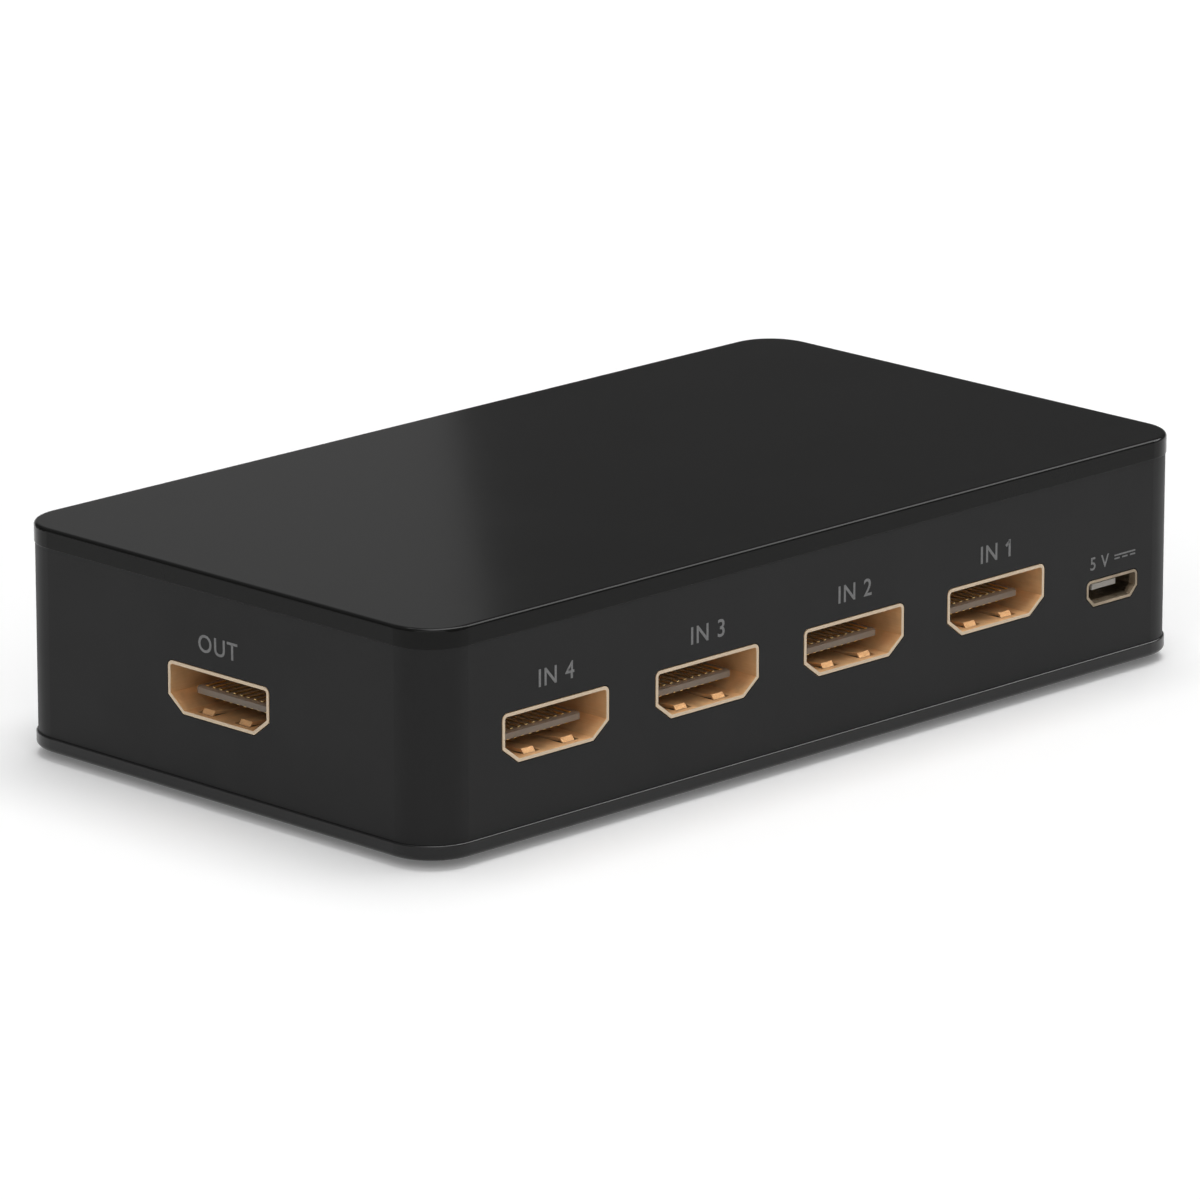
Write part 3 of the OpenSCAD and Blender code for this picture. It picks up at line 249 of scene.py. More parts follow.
def moulded(name, colour, roughness, specular, grain, depth=0.003 * MM, mottle=0.1):
    """Moulded plastic: fine spark-eroded grain, with a tone and gloss that drift a little."""
    finish, tree, shader, place = new_finish(name)
    drift = noise(tree, place, 45 * grain)
    shader.inputs["Specular IOR Level"].default_value = specular
    drive(
        tree,
        shader,
        colour=mix_colour(tree, drift, shade(colour, 1 - mottle), shade(colour, 1 + mottle)),
        roughness=span(tree, drift, roughness * 0.93, roughness * 1.07),
    )
    relief(tree, shader, noise(tree, place, grain, detail=3.0), depth)
    return finish


def rubber(name, colour):
    """Soft rubber: coarse matt skin with a few pale specks of dust."""
    speck_level = 0.73
    finish, tree, shader, place = new_finish(name)
    shader.inputs["Specular IOR Level"].default_value = 0.3
    specks = maths(tree, "GREATER_THAN", noise(tree, place, 0.3 * MM, detail=1.0), speck_level)
    drive(
        tree,
        shader,
        colour=mix_colour(tree, specks, shade(colour, 1), shade(colour, 4)),
        roughness=span(tree, noise(tree, place, 2 * MM), 0.75, 0.95),
    )
    relief(tree, shader, noise(tree, place, 0.4 * MM, detail=4.0), depth=0.03 * MM)
    return finish


def plated(name, colour, roughness, drawn=(1, 1, 1), tarnish=0.7, metallic=1.0, mouth=None, rim_wear_and_highlight=None):
    """Plated sheet: drawn lines from rolling, and patches where the plating is duller.

    Its rim where it faces the mouth takes a paler tone, partly from plugs rubbing it and partly a painted
    highlight, and plugs have worn the noses of its springs dull.
    """
    finish, tree, shader, place = new_finish(name)
    shader.inputs["Metallic"].default_value = metallic
    lines = noise(tree, place, 0.12 * MM, detail=3.0, stretch=drawn)
    patches = span(tree, noise(tree, place, 1.6 * MM, detail=3.0), 0, 1)
    tone = mix_colour(tree, patches, shade(colour, tarnish), shade(colour, 1.06))
    dullness = span(tree, lines, roughness * 0.75, roughness * 1.25)
    if mouth is not None:
        normal = add(tree, "ShaderNodeTexCoord").outputs["Normal"]
        lean = add(tree, "ShaderNodeVectorMath", {0: normal, 1: mouth}, operation="DOT_PRODUCT")
        # The rim that faces the mouth gets a paler tone: partly plugs rubbing it, partly a painted highlight
        rim = span(tree, lean.outputs["Value"], 0, 1, from_low=0.9, from_high=0.97)
        front = span(tree, lean.outputs["Value"], 0, 1, from_low=0.3, from_high=0.6)
        nose = maths(tree, "SUBTRACT", front, rim)
        tone = mix_colour(tree, nose, tone, shade(colour, 0.9))
        tone = mix_colour(tree, rim, tone, shade(rim_wear_and_highlight, 1))
        dullness = maths(tree, "MULTIPLY", dullness, span(tree, nose, 1, 1.5, from_low=0, from_high=1))
        lines = maths(tree, "MULTIPLY", lines, span(tree, nose, 1, 0, from_low=0, from_high=1))
    drive(tree, shader, colour=tone, roughness=dullness)
    relief(tree, shader, lines, depth=0.004 * MM)
    return finish


def banded(name, node, below, above, level, roughness, metal_below, metal_above):
    """Two finishes on one node, parted at a height above its foot."""
    finish, tree, shader, place = new_finish(name)
    height = add(tree, "ShaderNodeSeparateXYZ", {0: place}).outputs["Z"]
    upper = maths(tree, "GREATER_THAN", height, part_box(node)[0].z + level)
    drift = noise(tree, place, 0.8 * MM)
    drive(
        tree,
        shader,
        colour=mix_colour(tree, upper, shade(below, 1), shade(above, 1)),
        roughness=span(tree, drift, roughness * 0.8, roughness * 1.2),
        metallic=span(tree, upper, metal_below, metal_above, from_low=0, from_high=1),
    )
    relief(tree, shader, noise(tree, place, 0.15 * MM, detail=3.0), depth=0.004 * MM)
    return finish


def chip(name, node, reach, body_colour, lead_colour):
    """Black moulded chip with tinned leads outside its body, and a dimple that marks the first lead."""
    mark_inset, mark_radius, mark_colour = 1.1 * MM, 0.45 * MM, (0.05, 0.05, 0.05, 1)
    finish, tree, shader, place = new_finish(name)
    low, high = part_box(node)
    middle = (low + high) / 2
    half = (high - low) / 2 - Vector((*reach, 0))
    along = add(tree, "ShaderNodeSeparateXYZ", {0: place})
    outside = maths(
        tree,
        "MAXIMUM",
        *(
            maths(
                tree,
                "SUBTRACT",
                maths(tree, "ABSOLUTE", maths(tree, "SUBTRACT", along.outputs[axis], middle[axis])),
                half[axis],
            )
            for axis in (0, 1)
        ),
    )
    lead = maths(tree, "GREATER_THAN", outside, 0.0)
    mark = Vector((middle.x - half.x + mark_inset, middle.y - half.y + mark_inset, high.z))
    far = add(tree, "ShaderNodeVectorMath", {0: place, 1: mark}, operation="DISTANCE").outputs["Value"]
    dimple = maths(tree, "LESS_THAN", far, mark_radius)
    body = mix_colour(tree, dimple, shade(body_colour, 1), mark_colour)
    drive(
        tree,
        shader,
        colour=mix_colour(tree, lead, body, shade(lead_colour, 1)),
        roughness=span(tree, noise(tree, place, 0.5 * MM), 0.4, 0.6),
        metallic=lead,
    )
    relief(tree, shader, noise(tree, place, 0.1 * MM, detail=3.0), depth=0.006 * MM)
    return finish


def solder_mask(name, colour):
    """Circuit board: glossy mask over raised traces, with bare laminate on its cut edges."""
    trace_width, trace_length, trace_pitch = 0.12 * MM, 7 * MM, 0.7 * MM
    laminate = (0.32, 0.27, 0.14, 1)
    finish, tree, shader, place = new_finish(name)
    shader.inputs["Coat Weight"].default_value = 0.3
    rows = add(
        tree,
        "ShaderNodeTexBrick",
        {
            "Vector": place,
            "Scale": 1.0,
            "Mortar Size": trace_width,
            "Brick Width": trace_length,
            "Row Height": trace_pitch,
        },
    )
    region = maths(tree, "GREATER_THAN", noise(tree, place, 9 * MM, detail=1.0), 0.5)
    trace = maths(tree, "MULTIPLY", rows.outputs["Fac"], region)
    normal = add(tree, "ShaderNodeNewGeometry").outputs["Normal"]
    facing = maths(tree, "ABSOLUTE", add(tree, "ShaderNodeSeparateXYZ", {0: normal}).outputs["Z"])
    edge = maths(tree, "LESS_THAN", facing, 0.5)
    mask = mix_colour(tree, trace, shade(colour, 1), shade(colour, 1.9))
    drive(
        tree,
        shader,
        colour=mix_colour(tree, edge, mask, laminate),
        roughness=span(tree, noise(tree, place, 3 * MM), 0.28, 0.42),
    )
    relief(tree, shader, trace, depth=0.03 * MM)
    return finish


def lens(name, colour, node):
    """Diffused light: milky resin that pales towards its nose."""
    pale_depth = 1.2 * MM
    finish, tree, shader, place = new_finish(name)
    shader.inputs["Transmission Weight"].default_value = 0.25
    shader.inputs["Coat Weight"].default_value = 0.6
    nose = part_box(node)[1].y
    depth = add(tree, "ShaderNodeSeparateXYZ", {0: place}).outputs["Y"]
    pale = span(tree, depth, 0.0, 0.45, from_low=nose - pale_depth, from_high=nose)
    milky = tuple(0.4 + 0.6 * channel for channel in colour)
    drive(
        tree,
        shader,
        colour=mix_colour(tree, pale, shade(colour, 1), shade(milky, 1)),
        roughness=span(tree, noise(tree, place, 1.5 * MM), 0.12, 0.2),
    )
    relief(tree, shader, noise(tree, place, 0.9 * MM), depth=0.002 * MM)
    return finish


def dark_window(name):
    """Window for infrared light: nearly black, with a deep red tint and a polished face."""
    dark, tinted = (0.006, 0.002, 0.003, 1), (0.016, 0.003, 0.006, 1)
    finish, tree, shader, place = new_finish(name)
    shader.inputs["Specular IOR Level"].default_value = 0.3
    cloud = noise(tree, place, 1.5 * MM, detail=2.0)
    drive(
        tree,
        shader,
        colour=mix_colour(tree, cloud, dark, tinted),
        roughness=span(tree, cloud, 0.06, 0.12),
    )
    relief(tree, shader, cloud, depth=0.004 * MM)
    return finish


def printed_ink(name, colour):
    """Pad-printed ink: matt and slightly uneven."""
    finish, tree, shader, place = new_finish(name)
    shader.inputs["Specular IOR Level"].default_value = 0.2
    cover = noise(tree, place, 0.15 * MM, detail=2.0)
    drive(
        tree,
        shader,
        colour=mix_colour(tree, span(tree, cover, 0, 1), shade(colour, 0.8), shade(colour, 1.15)),
        roughness=span(tree, cover, 0.55, 0.75),
    )
    relief(tree, shader, cover, depth=0.004 * MM)
    return finish


def dress(finish, *names):
    """Gives CAD nodes a finish through their material slots."""
    for name in names:
        node = NODES[name]
        if not node.material_slots:
            node.data.materials.append(None)
        for slot in node.material_slots:
            slot.material = finish


# Pieces

def new_piece(name, mesh):
    """Object at the origin that rides on the housing."""
    piece = bpy.data.objects.new(name, mesh)
    bpy.context.scene.collection.objects.link(piece)
    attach(piece, HOUSING)
    return piece


def quadrant_middles(node):
    """Middle of what a node has in each quadrant of the plan, and its lowest and highest level."""
    corners = {}
    for vertex in NODES[node].data.vertices:
        corners.setdefault((vertex.co.x > 0, vertex.co.y > 0), []).append(vertex.co)
    low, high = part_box(node)
    middles = []
    for key in sorted(corners):
        across = [min(c.x for c in corners[key]), max(c.x for c in corners[key])]
        deep = [min(c.y for c in corners[key]), max(c.y for c in corners[key])]
        middles.append(Vector((sum(across) / 2, sum(deep) / 2, 0)))
    return middles, low.z, high.z


def leg_ends(node, apart=1.2 * MM, tolerance=0.01 * MM):
    """Middles of the lowest faces of a node: the ends of its legs."""
    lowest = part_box(node)[0].z
    ends = []
    for face in NODES[node].data.polygons:
        faces_down = face.normal.z < -0.9
        if not faces_down or abs(face.center.z - lowest) > tolerance:
            continue
        near = next((group for group in ends if (group[0] - face.center).length < apart), None)
        if near is None:
            ends.append([face.center.copy()])
        else:
            near.append(face.center.copy())
    return [sum(group, Vector()) / len(group) for group in ends]


def repeater(name, lengths):
    """New Geometry Nodes tree with places, named lengths and a finish as its inputs."""
    tree = bpy.data.node_groups.new(name, "GeometryNodeTree")
    tree.interface.new_socket("Places", in_out="INPUT", socket_type="NodeSocketGeometry")
    for label in lengths:
        tree.interface.new_socket(label, in_out="INPUT", socket_type="NodeSocketFloat").subtype = "DISTANCE"
    tree.interface.new_socket("Finish", in_out="INPUT", socket_type="NodeSocketMaterial")
    tree.interface.new_socket("Result", in_out="OUTPUT", socket_type="NodeSocketGeometry")
    return tree, add(tree, "NodeGroupInput").outputs


def place_copies(tree, given, shape, turn=(0, 0, 0)):
    """Ends a tree: copies of the shape at the places, realized, smooth and with the finish."""
    copies = add(
        tree,
        "GeometryNodeInstanceOnPoints",
        {"Points": given["Places"], "Instance": shape, "Rotation": turn},
    )
    real = add(tree, "GeometryNodeRealizeInstances", {0: copies.outputs[0]})
    smooth = add(tree, "GeometryNodeSetShadeSmooth", {0: real.outputs[0]})
    finished = add(tree, "GeometryNodeSetMaterial", {0: smooth.outputs[0], "Material": given["Finish"]})
    add(tree, "NodeGroupOutput", {0: finished.outputs[0]})


def repeated_mesh(name, tree, places, lengths, finish):
    """Plain mesh of a tree's result at the places."""
    points = bpy.data.meshes.new(name)
    points.from_pydata(places, [], [])
    holder = bpy.data.objects.new(name + "_places", points)
    bpy.context.scene.collection.objects.link(holder)
    modifier = holder.modifiers.new(name, "NODES")
    modifier.node_group = tree
    values = {**lengths, "Finish": finish}
    for item in tree.interface.items_tree:
        if item.in_out == "INPUT" and item.name in values:
            modifier[item.identifier] = values[item.name]
    made = bpy.data.meshes.new_from_object(
        holder.evaluated_get(bpy.context.evaluated_depsgraph_get())
    )
    bpy.data.objects.remove(holder)
    return made


def fillet_tree():
    """Solder fillet: a cone on the board that draws in between its foot and the leg."""
    top_share, waist_share = 0.3, 0.28
    tree, given = repeater("Solder fillets", ("Radius", "Height"))
    cone = add(
        tree,
        "GeometryNodeMeshCone",
        {
            "Vertices": 20,
            "Side Segments": 4,
            "Radius Bottom": given["Radius"],
            "Radius Top": maths(tree, "MULTIPLY", given["Radius"], top_share),
            "Depth": given["Height"],
        },
    )
    place = add(tree, "GeometryNodeInputPosition").outputs[0]
    rise = add(tree, "ShaderNodeSeparateXYZ", {0: place}).outputs["Z"]
    level = maths(tree, "DIVIDE", rise, given["Height"])
    waist = maths(tree, "SINE", maths(tree, "MULTIPLY", level, math.pi))
    width = maths(tree, "SUBTRACT", 1.0, maths(tree, "MULTIPLY", waist, waist_share))
    scale = add(tree, "ShaderNodeCombineXYZ", {"X": width, "Y": width, "Z": 1.0}).outputs[0]
    drawn = add(tree, "ShaderNodeVectorMath", {0: place, 1: scale}, operation="MULTIPLY").outputs[0]
    shape = add(tree, "GeometryNodeSetPosition", {0: cone.outputs["Mesh"], "Position": drawn})
    place_copies(tree, given, shape.outputs[0], (math.pi, 0, 0))
    return tree


def thread_tree():
    """Screw thread: a three-sided ridge that climbs round a core."""
    tree, given = repeater("Screw threads", ("Core", "Depth", "Pitch", "Length"))
    spiral = add(
        tree,
        "GeometryNodeCurveSpiral",
        {
            "Resolution": 24,
            "Rotations": maths(tree, "DIVIDE", given["Length"], given["Pitch"]),
            "Start Radius": given["Core"],
            "End Radius": given["Core"],
            "Height": given["Length"],
        },
    )
    section = add(tree, "GeometryNodeCurvePrimitiveCircle", {"Resolution": 3, "Radius": given["Depth"]})
    ridge = add(
        tree,
        "GeometryNodeCurveToMesh",
        {"Curve": spiral.outputs[0], "Profile Curve": section.outputs[0], "Fill Caps": True},
    )
    place_copies(tree, given, ridge.outputs[0])
    return tree


def text_mesh(words, cap_height, thickness):
    """Flat letters of that cap height, centred on x with their feet on y = 0 and their backs on z = 0."""
    curve = bpy.data.curves.new("letters", "FONT")
    curve.body = words
    curve.align_x = "CENTER"
    curve.resolution_u = 4
    curve.space_character = 1.12
    curve.offset = 0.008
    holder = bpy.data.objects.new("letters", curve)
    bpy.context.scene.collection.objects.link(holder)
    bpy.context.view_layer.update()
    scale = cap_height / max(corner[1] for corner in holder.bound_box)
    curve.extrude = thickness / scale / 2
    mesh = bpy.data.meshes.new_from_object(
        holder.evaluated_get(bpy.context.evaluated_depsgraph_get())
    )
    bpy.data.objects.remove(holder)
    mesh.transform(Matrix.Translation((0, 0, thickness / 2)) @ Matrix.Scale(scale, 4))
    return mesh


def add_bars(mesh, bars, thickness, turn=0.0):
    """Adds flat bars to a printed mesh; each is its left, right, lower and upper edge before its turn."""
    form = bmesh.new()
    form.from_mesh(mesh)
    for left, right, lower, upper in bars:
        middle = Vector(((left + right) / 2, (lower + upper) / 2, thickness / 2))
        shape = Matrix.Rotation(turn, 4, "Z") @ Matrix.Diagonal((right - left, upper - lower, thickness, 1))
        bmesh.ops.create_cube(form, size=1, matrix=Matrix.Translation(middle) @ shape)
    form.to_mesh(mesh)
    form.free()


def on_face(mesh, face, foot):
    """Lays a printed mesh on a face of the frame, with the middle of its foot at a point."""
    right, up, outward = face
    turn = Matrix((right, up, outward)).transposed().to_4x4()
    mesh.transform(Matrix.Translation(foot) @ turn)


class SWITCHBOX_OT_housing(bpy.types.Operator):
    """Finish the cover, frame, base plate and feet"""

    bl_idname = "switch_box.housing"
    bl_label = "Finish Housing"

    def execute(self, context):
        look = settings().finish
        for name, colour, roughness, specular, depth, node in (
            ("cover_plastic", look.cover, 0.11, 0.11, 0.0004 * MM, "top_cover"),
            ("frame_plastic", look.frame, 0.5, 0.185, 0.004 * MM, "side_frame"),
            ("base_plastic", look.base, 0.25, 0.28, 0.004 * MM, "base_plate"),
        ):
            dress(moulded(name, colour, roughness, specular, look.grain, depth), node)
        dress(rubber("foot_rubber", look.rubber), "rubber_feet")
        return {"FINISHED"}


class SWITCHBOX_OT_sockets(bpy.types.Operator):
    """Finish the video sockets"""

    bl_idname = "switch_box.sockets"
    bl_label = "Finish Video Sockets"

    def execute(self, context):
        look = settings().finish
        along_y, along_x = (1, 0.04, 1), (0.04, 1, 1)
        # The paler rim tone here is partly plugs rubbing the plating and partly a painted highlight
        plating_wear_and_highlight = {"tarnish": 0.92, "metallic": 0.8, "rim_wear_and_highlight": look.rim_gold_wear_and_highlight}
        gold = plated("socket_gold", look.gold, roughness=0.53, drawn=along_y, mouth=INPUT_FACE[2], **plating_wear_and_highlight)
        dress(gold, *(f"input_{number}_shell" for number in INPUTS))
        gold = plated("output_gold", look.gold, roughness=0.5, drawn=along_x, mouth=OUTPUT_FACE[2], **plating_wear_and_highlight)
        dress(gold, "output_shell")
        plastic = moulded(
            "socket_plastic", look.insulator, roughness=0.5, specular=0.4, grain=look.fine_grain
        )
        dress(plastic, *(f"{socket}_insulator" for socket in SOCKETS))
        contact = plated("contact_gold", look.contact, roughness=0.2, drawn=along_y, tarnish=0.9)
        dress(contact, *(f"{socket}_contacts" for socket in SOCKETS), "power_inlet_contacts")
        return {"FINISHED"}


class SWITCHBOX_OT_inlet(bpy.types.Operator):
    """Finish the power inlet"""

    bl_idname = "switch_box.inlet"
    bl_label = "Finish Power Inlet"

    def execute(self, context):
        look = settings().finish
        along_y = (1, 0.05, 1)
        plating = plated("inlet_plating", look.inlet, roughness=0.34, drawn=along_y)
        dress(plating, "power_inlet_shell")
        tongue = moulded(
            "inlet_plastic", look.inlet_tongue, roughness=0.45, specular=0.4, grain=look.fine_grain
        )
        dress(tongue, "power_inlet_insulator")
        return {"FINISHED"}


class SWITCHBOX_OT_controls(bpy.types.Operator):
    """Finish the button, its switch, the lights and the remote window"""

    bl_idname = "switch_box.controls"
    bl_label = "Finish Controls"

    def execute(self, context):
        look = settings().finish
        button = moulded(
            "button_plastic", look.cover, roughness=0.3, specular=0.35, grain=look.grain, depth=0.002 * MM
        )
        dress(button, "select_button")
        inner = moulded("switch_plastic", look.switch, roughness=0.5, specular=0.4, grain=look.fine_grain)
        dress(inner, "switch_stem", "switch_case", "remote_receiver")
        dress(lens("power_lens", look.power_lens, "power_light"), "power_light")
        lights = [f"input_light_{number}" for number in INPUTS]
        dress(lens("input_lens", look.input_lens, lights[0]), *lights)
        dress(dark_window("window_plastic"), "remote_window")
        tinned = plated("tinned_steel", look.steel, roughness=0.35)
        dress(tinned, "switch_bracket", "switch_dome", "switch_pins", "receiver_leads", "light_leads")
        self.stand_in_dome()
        return {"FINISHED"}

    def stand_in_dome(self):
        """Puts a copy of the snap dome in its place and hides the original."""
        dome = new_piece("snap_dome", NODES["switch_dome"].data.copy())
        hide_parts("switch_dome")
        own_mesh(dome)


class SWITCHBOX_OT_board(bpy.types.Operator):
    """Finish the circuit board and the parts on it"""

    bl_idname = "switch_box.board"
    bl_label = "Finish Board"

    def execute(self, context):
        look = settings().finish
        lead_reach, can_foot = 1 * MM, 0.9 * MM
        dress(solder_mask("board_laminate", look.mask), "main_board")
        for name, overhang in (
            ("switch_chip", (lead_reach, lead_reach)),
            ("control_chip", (0, lead_reach)),
            ("voltage_regulator", (0, lead_reach)),
        ):
            dress(chip(name + "_finish", name, overhang, look.moulding, look.steel), name)
        cans = banded(
            "can_metal",
            "filter_capacitors",
            below=look.moulding,
            above=look.can,
            level=can_foot,
            roughness=0.4,
            metal_below=0,
            metal_above=1,
        )
        dress(cans, "filter_capacitors")
        dress(plated("crystal_metal", look.steel, roughness=0.3), "crystal")
        ceramic = moulded(
            "capacitor_ceramic",
            look.ceramic,
            roughness=0.5,
            specular=0.4,
            grain=look.chip_grain,
            mottle=0.25,
        )
        dress(ceramic, "chip_capacitors")
        glaze = moulded("resistor_glaze", look.glaze, roughness=0.35, specular=0.5, grain=look.chip_grain)
        dress(glaze, "chip_resistors", "line_guards")
        return {"FINISHED"}


class SWITCHBOX_OT_solder(bpy.types.Operator):
    """Solder every leg to the underside of the board"""

    bl_idname = "switch_box.solder"
    bl_label = "Solder Legs"

    def execute(self, context):
        sizes = settings().metalwork
        board_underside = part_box("main_board")[0].z
        legged = [f"{socket}_shell" for socket in SOCKETS]
        legged += ["power_inlet_shell", "switch_bracket", "switch_pins", "receiver_leads", "light_leads"]
        places = [(end.x, end.y, board_underside) for node in legged for end in leg_ends(node)]
        if not places:
            raise RuntimeError("no leg ends were found under the board")
        solder = plated("solder_metal", settings().finish.steel, roughness=0.3)
        lengths = {"Radius": sizes.fillet_radius, "Height": sizes.fillet_height}
        mesh = repeated_mesh("solder_fillets", fillet_tree(), places, lengths, solder)
        new_piece("solder_fillets", mesh)
        return {"FINISHED"}


class SWITCHBOX_OT_screws(bpy.types.Operator):
    """Finish the screws and cut their threads"""

    bl_idname = "switch_box.screws"
    bl_label = "Finish Screws"

    def execute(self, context):
        sizes = settings().metalwork
        zinc = plated("screw_steel", settings().finish.steel, roughness=0.3)
        dress(zinc, "case_screws", "board_screws")
        tree = thread_tree()
        for node, core, head, point, head_down in (
            ("case_screws", 1.3 * MM, 1.8 * MM, 1.3 * MM, True),
            ("board_screws", 1.0 * MM, 1.5 * MM, 1.0 * MM, False),
        ):
            middles, low, high = quadrant_middles(node)
            length = high - low - head - point - sizes.thread_start
            start = low + head + sizes.thread_start if head_down else low + point
            places = [(middle.x, middle.y, start) for middle in middles]
            lengths = {
                "Core": core,
                "Depth": sizes.thread_depth,
                "Pitch": sizes.thread_pitch,
                "Length": length,
            }
            name = node + "_threads"
            new_piece(name, repeated_mesh(name, tree, places, lengths, zinc))
        return {"FINISHED"}


class SWITCHBOX_OT_labels(bpy.types.Operator):
    """Print the sockets' names on the frame"""

    bl_idname = "switch_box.labels"
    bl_label = "Print Labels"

    def execute(self, context):
        sizes = settings().printing
        ink = printed_ink("label_ink", sizes.ink)
        wall_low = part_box("side_frame")[0]
        for socket in SOCKETS:
            low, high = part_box(f"{socket}_shell")
            middle = (low + high) / 2
            words = "OUT" if socket == "output" else "IN " + socket[-1]
            mesh = text_mesh(words, sizes.cap_height, sizes.thickness)
            if words.endswith("1"):
                self.flag_numeral(mesh, sizes)
            foot_level = high.z + sizes.rise
            if socket == "output":
                on_face(mesh, OUTPUT_FACE, Vector((wall_low.x, middle.y, foot_level)))
            else:
                on_face(mesh, INPUT_FACE, Vector((middle.x, wall_low.y, foot_level)))
            mesh.materials.append(ink)
            new_piece(f"label_{socket}", mesh)
        self.print_inlet_label(sizes, ink, wall_low.y)
        return {"FINISHED"}

    def flag_numeral(self, mesh, sizes):
        """Gives the numeral one at the right end, a bare stroke in this font, its slanting flag."""
        cap = sizes.cap_height
        widest, length, turn = 0.35 * cap, 0.38 * cap, math.radians(40)
        right = max(vertex.co.x for vertex in mesh.vertices)
        left = min(vertex.co.x for vertex in mesh.vertices if vertex.co.x > right - widest)
        stroke = right - left
        x = (left + right - length * math.cos(turn)) / 2
        y = cap - (stroke / math.cos(turn) + length * math.sin(turn)) / 2
        bar = (x - length / 2, x + length / 2, y - stroke / 2, y + stroke / 2)
        add_bars(mesh, [bar], sizes.thickness, turn)

    def print_inlet_label(self, sizes, ink, wall_y):
        """Prints the voltage and the sign for direct current: a bar over a broken bar."""
        low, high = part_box("power_inlet_shell")
        cap = sizes.inlet_cap_height
        mesh = text_mesh("5 V", cap, sizes.thickness)
        half_text = max(vertex.co.x for vertex in mesh.vertices)
        start, bar, stroke = half_text + 0.65 * cap, 2.4 * cap, 0.12 * cap
        upper, lower = 0.62 * cap, 0.36 * cap
        dash = bar / 4
        bars = [(start, start + bar, upper, upper + stroke)]
        for step in range(3):
            left = start + step * 1.5 * dash
            bars.append((left, left + dash, lower, lower + stroke))
        add_bars(mesh, bars, sizes.thickness)
        mesh.transform(Matrix.Translation((-(start + bar - half_text) / 2, 0, 0)))
        on_face(mesh, INPUT_FACE, Vector(((low.x + high.x) / 2, wall_y, high.z + sizes.inlet_rise)))
        mesh.materials.append(ink)
        new_piece("label_power_inlet", mesh)


def floor_finish(colour):
    """Pale floor that whitens with distance, and that sight and light pass from below."""
    finish, tree, shader, place = new_finish("floor_paint")
    shader.inputs["Specular IOR Level"].default_value = 0.0
    shader.inputs["Base Color"].default_value = shade(colour, 1)
    shader.inputs["Roughness"].default_value = 1.0
    ray = add(tree, "ShaderNodeLightPath").outputs
    seen = maths(tree, "MAXIMUM", ray["Is Camera Ray"], ray["Is Glossy Ray"])
    seen = maths(tree, "MAXIMUM", seen, ray["Is Transmission Ray"])
    far = add(tree, "ShaderNodeVectorMath", {0: place}, operation="LENGTH").outputs["Value"]
    haze = span(tree, far, 0.1, 1.0, from_low=0.15, from_high=2.0)
    shader.inputs["Emission Color"].default_value = (1, 1, 1, 1)
    tree.links.new(maths(tree, "MULTIPLY", seen, haze), shader.inputs["Emission Strength"])
    clear = add(tree, "ShaderNodeBsdfTransparent").outputs[0]
    under = add(tree, "ShaderNodeNewGeometry").outputs["Backfacing"]
    passed = maths(tree, "MAXIMUM", under, ray["Is Shadow Ray"])
    mixed = add(tree, "ShaderNodeMixShader", {0: passed, 1: shader.outputs[0], 2: clear})
    tree.links.new(mixed.outputs[0], tree.nodes["Material Output"].inputs["Surface"])
    return finish


def softbox(name, power, size, place, aim, roll=0.0):
    """Rectangular lamp at a place, turned towards its aim, that the camera doesn't see."""
    lamp = bpy.data.lights.new(name, "AREA")
    lamp.shape = "RECTANGLE"
    lamp.size, lamp.size_y = size
    lamp.energy = power
    holder = bpy.data.objects.new(name, lamp)
    turn = (aim - place).to_track_quat("-Z", "Y").to_matrix().to_4x4()
    holder.matrix_world = Matrix.Translation(place) @ turn @ Matrix.Rotation(roll, 4, "Z")
    holder.visible_camera = False
    bpy.context.scene.collection.objects.link(holder)
    return holder


def studio_world():
    """Studio walls by height: white at the foot, dim above it and pale overhead."""
    world = bpy.data.worlds.new("studio")
    bpy.context.scene.world = world
    world.use_nodes = True
    tree = world.node_tree
    direction = add(tree, "ShaderNodeTexCoord").outputs["Generated"]
    height = add(tree, "ShaderNodeSeparateXYZ", {0: direction}).outputs["Z"]
    ramp = add(tree, "ShaderNodeValToRGB", {0: height})
    stops = ramp.color_ramp.elements
    stops[0].position, stops[0].color = 0.08, (1, 1, 1, 1)
    stops[1].position, stops[1].color = 0.14, (0.12, 0.12, 0.12, 1)
    for position, level in ((0.45, 0.12), (0.8, 0.4), (1.0, 0.5)):
        stops.new(position).color = (level, level, level, 1)
    tree.links.new(ramp.outputs[0], tree.nodes["Background"].inputs["Color"])


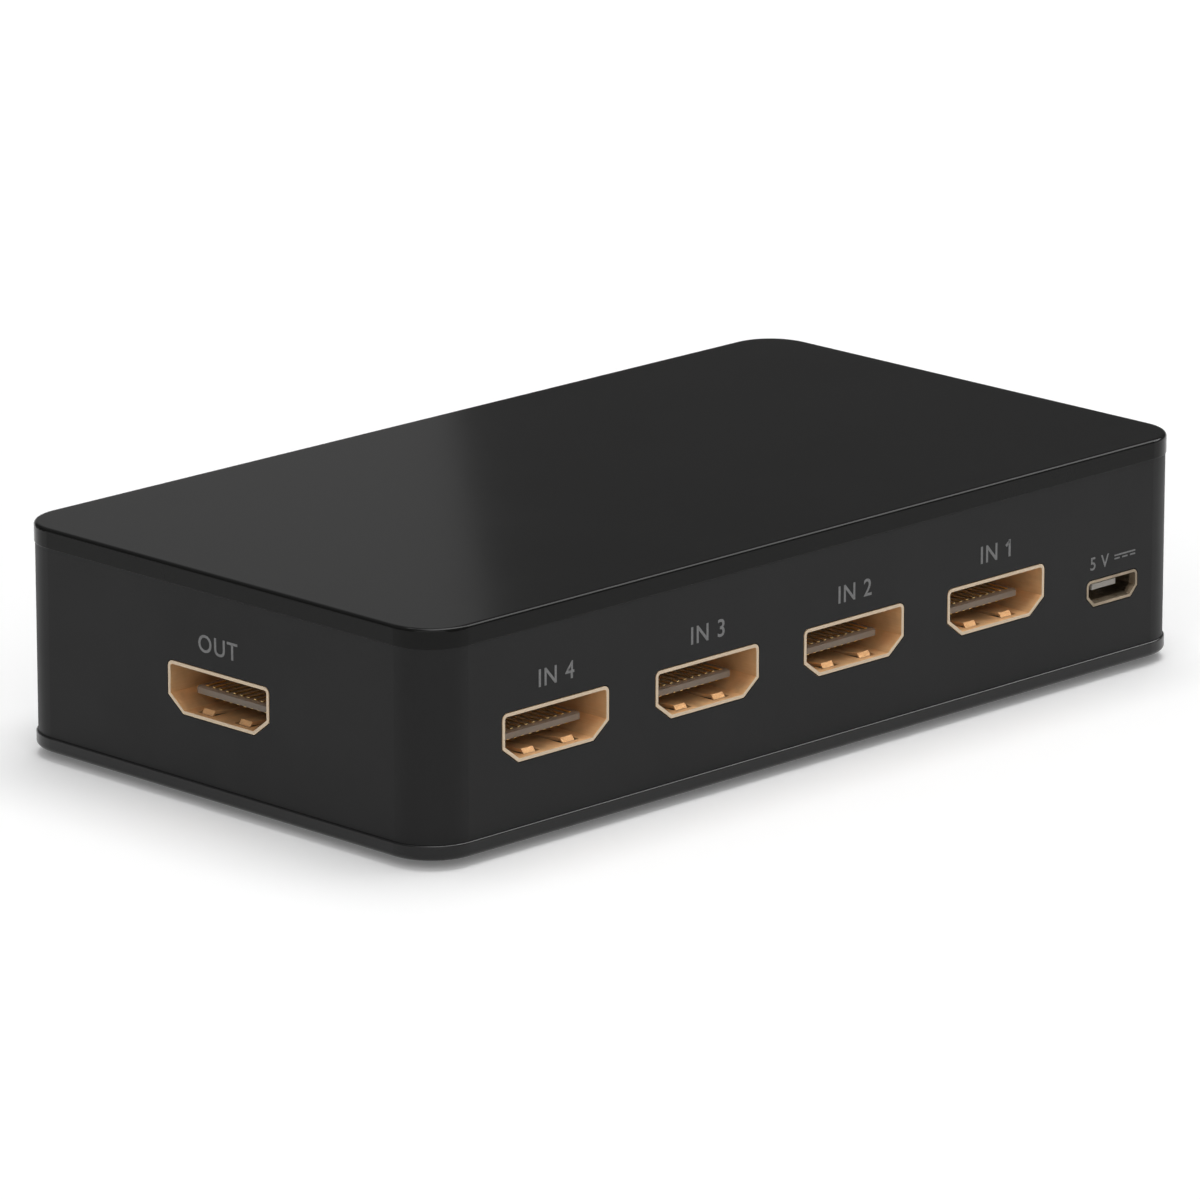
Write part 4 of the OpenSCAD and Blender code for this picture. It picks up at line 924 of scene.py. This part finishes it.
class SWITCHBOX_OT_stage(bpy.types.Operator):
    """Set the floor, the studio light and the camera"""

    bl_idname = "switch_box.stage"
    bl_label = "Set Stage"

    def execute(self, context):
        stage = settings().stage
        scene = context.scene
        scene.view_settings.view_transform = "Standard"
        self.lay_floor(stage)
        studio_world()
        back, right, up = self.camera_axes(stage)
        ahead = Vector((-back.x, -back.y, 0)).normalized()
        middle = Vector((0, 0, stage.aim_height))
        overhead_place = Vector((0.2, 0, 1.3))
        softbox("overhead_softbox", stage.overhead, size=(1.0, 1.0), place=overhead_place, aim=middle)
        front_place = back * 1.5 + Vector((0, 0, 0.45))
        softbox("front_softbox", stage.front, size=(2.2, 1.2), place=front_place, aim=middle)
        edge_place, edge_roll = Vector((0.42, -0.28, 0.98)), math.radians(-62)
        edge_light = softbox(
            "edge_softbox", stage.edge_light, size=(2.0, 0.6), place=edge_place, aim=middle, roll=edge_roll
        )
        edge_light.visible_diffuse = False
        panel_aim, panel_roll = -right * 0.161, math.radians(9)
        panel_place = ahead * 0.5 + panel_aim + Vector((0, 0, 0.25))
        softbox(
            "side_panel",
            stage.side_panel,
            size=(0.3, 0.5),
            place=panel_place,
            aim=panel_aim,
            roll=panel_roll,
        )
        below_place = Vector((0, 0, -1.0))
        softbox("below_softbox", stage.below, size=(1.2, 1.2), place=below_place, aim=middle)
        self.set_camera(stage, back, right, up)
        return {"FINISHED"}

    def lay_floor(self, stage):
        """Lays a round floor, wide enough to reach the horizon."""
        form = bmesh.new()
        bmesh.ops.create_circle(form, cap_ends=True, segments=96, radius=8.0)
        mesh = bpy.data.meshes.new("floor")
        form.to_mesh(mesh)
        form.free()
        mesh.materials.append(floor_finish(stage.floor))
        floor = bpy.data.objects.new("floor", mesh)
        bpy.context.scene.collection.objects.link(floor)

    def camera_axes(self, stage):
        """The camera's directions: back from its aim, to its right and up."""
        turn, rise = stage.azimuth, stage.elevation
        back = Vector(
            (math.sin(turn) * math.cos(rise), -math.cos(turn) * math.cos(rise), math.sin(rise))
        )
        right = Vector((math.cos(turn), math.sin(turn), 0))
        return back, right, back.cross(right)

    def set_camera(self, stage, back, right, up):
        """Adds the camera at its distance from its aim."""
        data = bpy.data.cameras.new("camera")
        data.sensor_width = 36
        data.lens = stage.lens
        data.clip_start, data.clip_end = 0.01, 20
        camera = bpy.data.objects.new("camera", data)
        aim = Vector((0, 0, stage.aim_height)) + right * stage.aim_right + up * stage.aim_up
        turn = Matrix((right, up, back)).transposed().to_4x4()
        camera.matrix_world = Matrix.Translation(aim + back * stage.distance) @ turn
        bpy.context.scene.collection.objects.link(camera)
        bpy.context.scene.camera = camera


class SWITCHBOX_PT_sidebar(bpy.types.Panel):
    """Lists the switch box's steps and settings"""

    bl_label = "Switch Box"
    bl_idname = "SWITCHBOX_PT_sidebar"
    bl_space_type = "VIEW_3D"
    bl_region_type = "UI"
    bl_category = "Switch Box"

    def draw(self, context):
        steps = self.layout.column(align=True)
        for operator in OPERATORS:
            steps.operator(operator.bl_idname)
        for title in ("finish", "printing", "metalwork", "stage"):
            group = getattr(settings(), title)
            box = self.layout.box()
            box.label(text=title.capitalize())
            for name in group.__annotations__:
                box.prop(group, name)


OPERATORS = (
    SWITCHBOX_OT_housing,
    SWITCHBOX_OT_sockets,
    SWITCHBOX_OT_inlet,
    SWITCHBOX_OT_controls,
    SWITCHBOX_OT_board,
    SWITCHBOX_OT_solder,
    SWITCHBOX_OT_screws,
    SWITCHBOX_OT_labels,
    SWITCHBOX_OT_stage,
)
GROUPS = (SwitchBoxFinish, SwitchBoxPrint, SwitchBoxMetalwork, SwitchBoxStage, SwitchBoxSettings)
CLASSES = (*GROUPS, *OPERATORS, SWITCHBOX_PT_sidebar)


def register():
    for kind in CLASSES:
        bpy.utils.register_class(kind)
    bpy.types.Scene.switch_box = bpy.props.PointerProperty(type=SwitchBoxSettings)


def unregister():
    del bpy.types.Scene.switch_box
    for kind in reversed(CLASSES):
        bpy.utils.unregister_class(kind)


def main():
    register()
    bpy.ops.switch_box.housing()
    bpy.ops.switch_box.sockets()
    bpy.ops.switch_box.inlet()
    bpy.ops.switch_box.controls()
    bpy.ops.switch_box.board()
    bpy.ops.switch_box.solder()
    bpy.ops.switch_box.screws()
    bpy.ops.switch_box.labels()
    bpy.ops.switch_box.stage()


if __name__ == "__main__":
    main()
